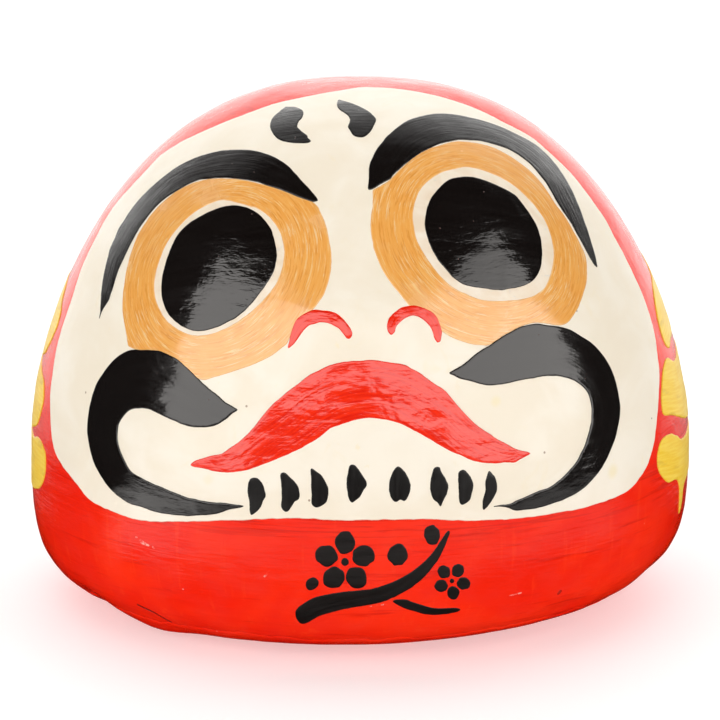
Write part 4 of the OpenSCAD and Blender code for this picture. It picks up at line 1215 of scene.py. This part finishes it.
def blob(cx, cy, rx, ry, tilt=0.0, n=16, wob=0.06, seed=0):
    r = np.random.default_rng(seed)
    a = np.linspace(0, 2 * math.pi, n, endpoint=False)
    k = 1 + wob * r.uniform(-1, 1, n)
    x, y = rx * k * np.cos(a), ry * k * np.sin(a)
    t = math.radians(tilt)
    return [(cx + u * math.cos(t) - v * math.sin(t), cy + u * math.sin(t) + v * math.cos(t)) for u, v in zip(x, y)]


parts = []
for A, B in (BOUGH, TWIG):
    L = outline(A + B[::-1], FRONT, 0.4, 0.14, 90)
    parts.append(film_parts(L, FRONT, 0.0, 0.13, 0.8, path=sheet_path(mid(A, B)), seed=7))
for i, b in enumerate(((38, -221, 10, 11, -20), (72, -201, 8, 10, 10), (-48, -250, 7, 6, 40))):
    L = outline(blob(*b, seed=i), FRONT, 0.35, 0.08, 92)
    parts.append(film_parts(L, FRONT, 0.0, 0.13, 0.7, seed=8))
piece(join_parts("belly_bough", parts), BLACK_MATT, "belly_branch")
parts = []
for cx, cy, reach, size, spin in ((-15, -228, 19.5, 10.9, 90), (92, -247, 12, 6.5, 60)):
    for k_ in range(5):
        a = math.radians(spin + 72 * k_)
        L = outline(blob(cx + reach * math.cos(a), cy + reach * math.sin(a), size * 1.04, size * 0.96,
                         spin + 72 * k_, seed=20 + k_), FRONT, 0.35, 0.06, 94 + k_)
        parts.append(film_parts(L, FRONT, 0.0, 0.13, 0.7, seed=9))
    L = outline(blob(cx, cy, size * 0.36, size * 0.36, seed=30), FRONT, 0.3, 0.03, 99)
    parts.append(film_parts(L, FRONT, 0.0, 0.11, 0.6, seed=10))
piece(join_parts("belly_flowers", parts), BLACK_MATT, "belly_blossom")

# nodes carried over from the frame
for nm, mt in (("foot_paper", BARE), ("foot_card", CARD), ("clay_weight", CLAY)):
    wear(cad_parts[nm], mt)

# ------------------------------------------------------------------ floor, panels and world
M = Mat("pale_floor")
FLOOR = M.done(M.mix(M.span(M.noise(M.at((400, 400, 400)), 2), 0.3, 0.7), (0.62, 0.616, 0.612), (0.64, 0.636, 0.632)), 0.65)
M.b.inputs["Emission Color"].default_value = (1.0, 1.0, 1.0, 1.0)
M.b.inputs["Emission Strength"].default_value = 0.46
fm = bpy.data.meshes.new("floor")
fm.from_pydata([(-9, -6, 0), (9, -6, 0), (9, 9, 0), (-9, 9, 0)], [], [(0, 1, 2, 3)])
floor = bpy.data.objects.new("floor", fm)
scene.collection.objects.link(floor)
wear(floor, FLOOR)
floor.visible_glossy = False


def glowing(name, V, F, strength, attr=None):
    me = bpy.data.meshes.new(name)
    me.from_pydata(V, [], F)
    if attr is not None:
        me.attributes.new("glow", "FLOAT", "POINT").data.foreach_set("value", np.asarray(attr, np.float32))
    ob = bpy.data.objects.new(name, me)
    scene.collection.objects.link(ob)
    m = bpy.data.materials.new(name)
    m.use_nodes = True
    m.node_tree.nodes.clear()
    e = m.node_tree.nodes.new("ShaderNodeEmission")
    e.inputs[0].default_value = (1.0, 0.97, 0.94, 1)
    e.inputs[1].default_value = strength
    if attr is not None:
        g = m.node_tree.nodes.new("ShaderNodeAttribute")
        g.attribute_name = "glow"
        m.node_tree.links.new(g.outputs["Fac"], e.inputs[1])
    o = m.node_tree.nodes.new("ShaderNodeOutputMaterial")
    m.node_tree.links.new(e.outputs[0], o.inputs[0])
    wear(ob, m)
    ob.visible_camera = False
    return ob


# a long soft light round the front, its lower and upper edges in degrees above the table by bearing
az = np.linspace(-73, 82, 94)
lo_el = np.interp(az, [-73, -38, -34, -16, -12, 6, 9, 31, 36, 82], [0.5, 0.5, 13.5, 13.5, 21, 21, 12, 12.5, 0.5, 0.5])
up_el = np.interp(az, [-73, -60, -35, 0, 31, 44, 60, 82], [41, 43, 40, 36, 37, 46, 48, 48])
R = 2.3
mid_el = lo_el + (up_el - lo_el) * 0.5
V = [(R * math.sin(math.radians(x)), -R * math.cos(math.radians(x)), 0.085 + R * math.tan(math.radians(y)))
     for row_ in (lo_el, mid_el, up_el) for x, y in zip(az, row_)]
n = len(az)
dim = np.interp(az, [-73, 0, 30, 82], [2.0, 2.0, 1.25, 1.2])
glowing("front_panel", V, [(k_ * n + i, k_ * n + i + 1, k_ * n + n + i + 1, k_ * n + n + i) for k_ in (0, 1) for i in range(n - 1)],
        2.0, np.concatenate([np.full(n, 2.0), np.full(n, 2.0), dim]))

# the table's own sheen, seen only in the gloss
az = np.linspace(-78, 84, 82)
rr = np.array([0.17, 0.19, 0.25, 0.32, 0.40, 0.46, 0.50])
fa = np.interp(az, [-78, -68, -52, -45, -30, 0, 30, 50, 75, 84], [0, 1.4, 1.4, 0.80, 0.60, 0.22, 0.45, 0.55, 0.5, 0])
fr = np.array([0, 0.7, 1, 1, 0.6, 0.3, 0])
V = [(r * math.sin(math.radians(x)), -r * math.cos(math.radians(x)), 0.0004) for r in rr for x in az]
n = len(az)
F = [(i * n + j, i * n + j + 1, (i + 1) * n + j + 1, (i + 1) * n + j) for i in range(len(rr) - 1) for j in range(n - 1)]
sheen = glowing("table_sheen", V, F, 0.0, np.outer(fr, fa).ravel())
sheen.visible_diffuse = False
sheen.visible_shadow = False
sheen.visible_transmission = False


def soft(name, at, aim, size, watts, shine=False):
    d = bpy.data.lights.new(name, "AREA")
    d.shape = "RECTANGLE"
    d.size, d.size_y = size
    d.energy = watts
    ob = bpy.data.objects.new(name, d)
    scene.collection.objects.link(ob)
    ob.location = at
    ob.rotation_euler = (Vector(aim) - Vector(at)).to_track_quat("-Z", "Y").to_euler()
    ob.visible_glossy = shine
    ob.visible_camera = False
    return ob


soft("top_fill", (-0.75, -0.9, 2.35), (0, 0, 0.1), (2.2, 1.6), 6.3)
soft("left_fill", (-1.95, -0.55, 0.55), (0, 0, 0.08), (0.9, 1.0), 3.0)
soft("floor_wash", (0, 1.9, 2.5), (0, 1.9, 0), (6.0, 3.6), 110)

world = bpy.data.worlds.new("studio")
scene.world = world
world.use_nodes = True
nt = world.node_tree
nt.nodes.clear()
tc = nt.nodes.new("ShaderNodeTexCoord")
sp = nt.nodes.new("ShaderNodeSeparateXYZ")
nt.links.new(tc.outputs["Generated"], sp.inputs[0])


def ramp(sock, a, b, lo, hi):
    n = nt.nodes.new("ShaderNodeMapRange")
    n.interpolation_type = "SMOOTHSTEP"
    for k_, v_ in (("From Min", a), ("From Max", b), ("To Min", lo), ("To Max", hi)):
        n.inputs[k_].default_value = v_
    nt.links.new(sock, n.inputs["Value"])
    return n.outputs[0]


def times(a, b):
    n = nt.nodes.new("ShaderNodeMath")
    n.operation = "MULTIPLY"
    nt.links.new(a, n.inputs[0])
    nt.links.new(b, n.inputs[1])
    return n.outputs[0]


glow = times(times(ramp(sp.outputs["Y"], 0.42, 0.98, 0.022, 1.38), ramp(sp.outputs["Z"], 0.45, 0.85, 1.0, 0.6)),
             ramp(sp.outputs["Z"], -0.28, -0.04, 0.0, 1.0))
bg = nt.nodes.new("ShaderNodeBackground")
bg.inputs[0].default_value = (1.0, 0.99, 0.975, 1)
over = times(ramp(sp.outputs["Y"], 0.24, 0.44, 0.0, 0.30), ramp(sp.outputs["Z"], 0.52, 0.72, 0.0, 1.0))
both = nt.nodes.new("ShaderNodeMath")
both.operation = "ADD"
nt.links.new(glow, both.inputs[0])
nt.links.new(over, both.inputs[1])
nt.links.new(both.outputs[0], bg.inputs[1])
wo = nt.nodes.new("ShaderNodeOutputWorld")
nt.links.new(bg.outputs[0], wo.inputs[0])
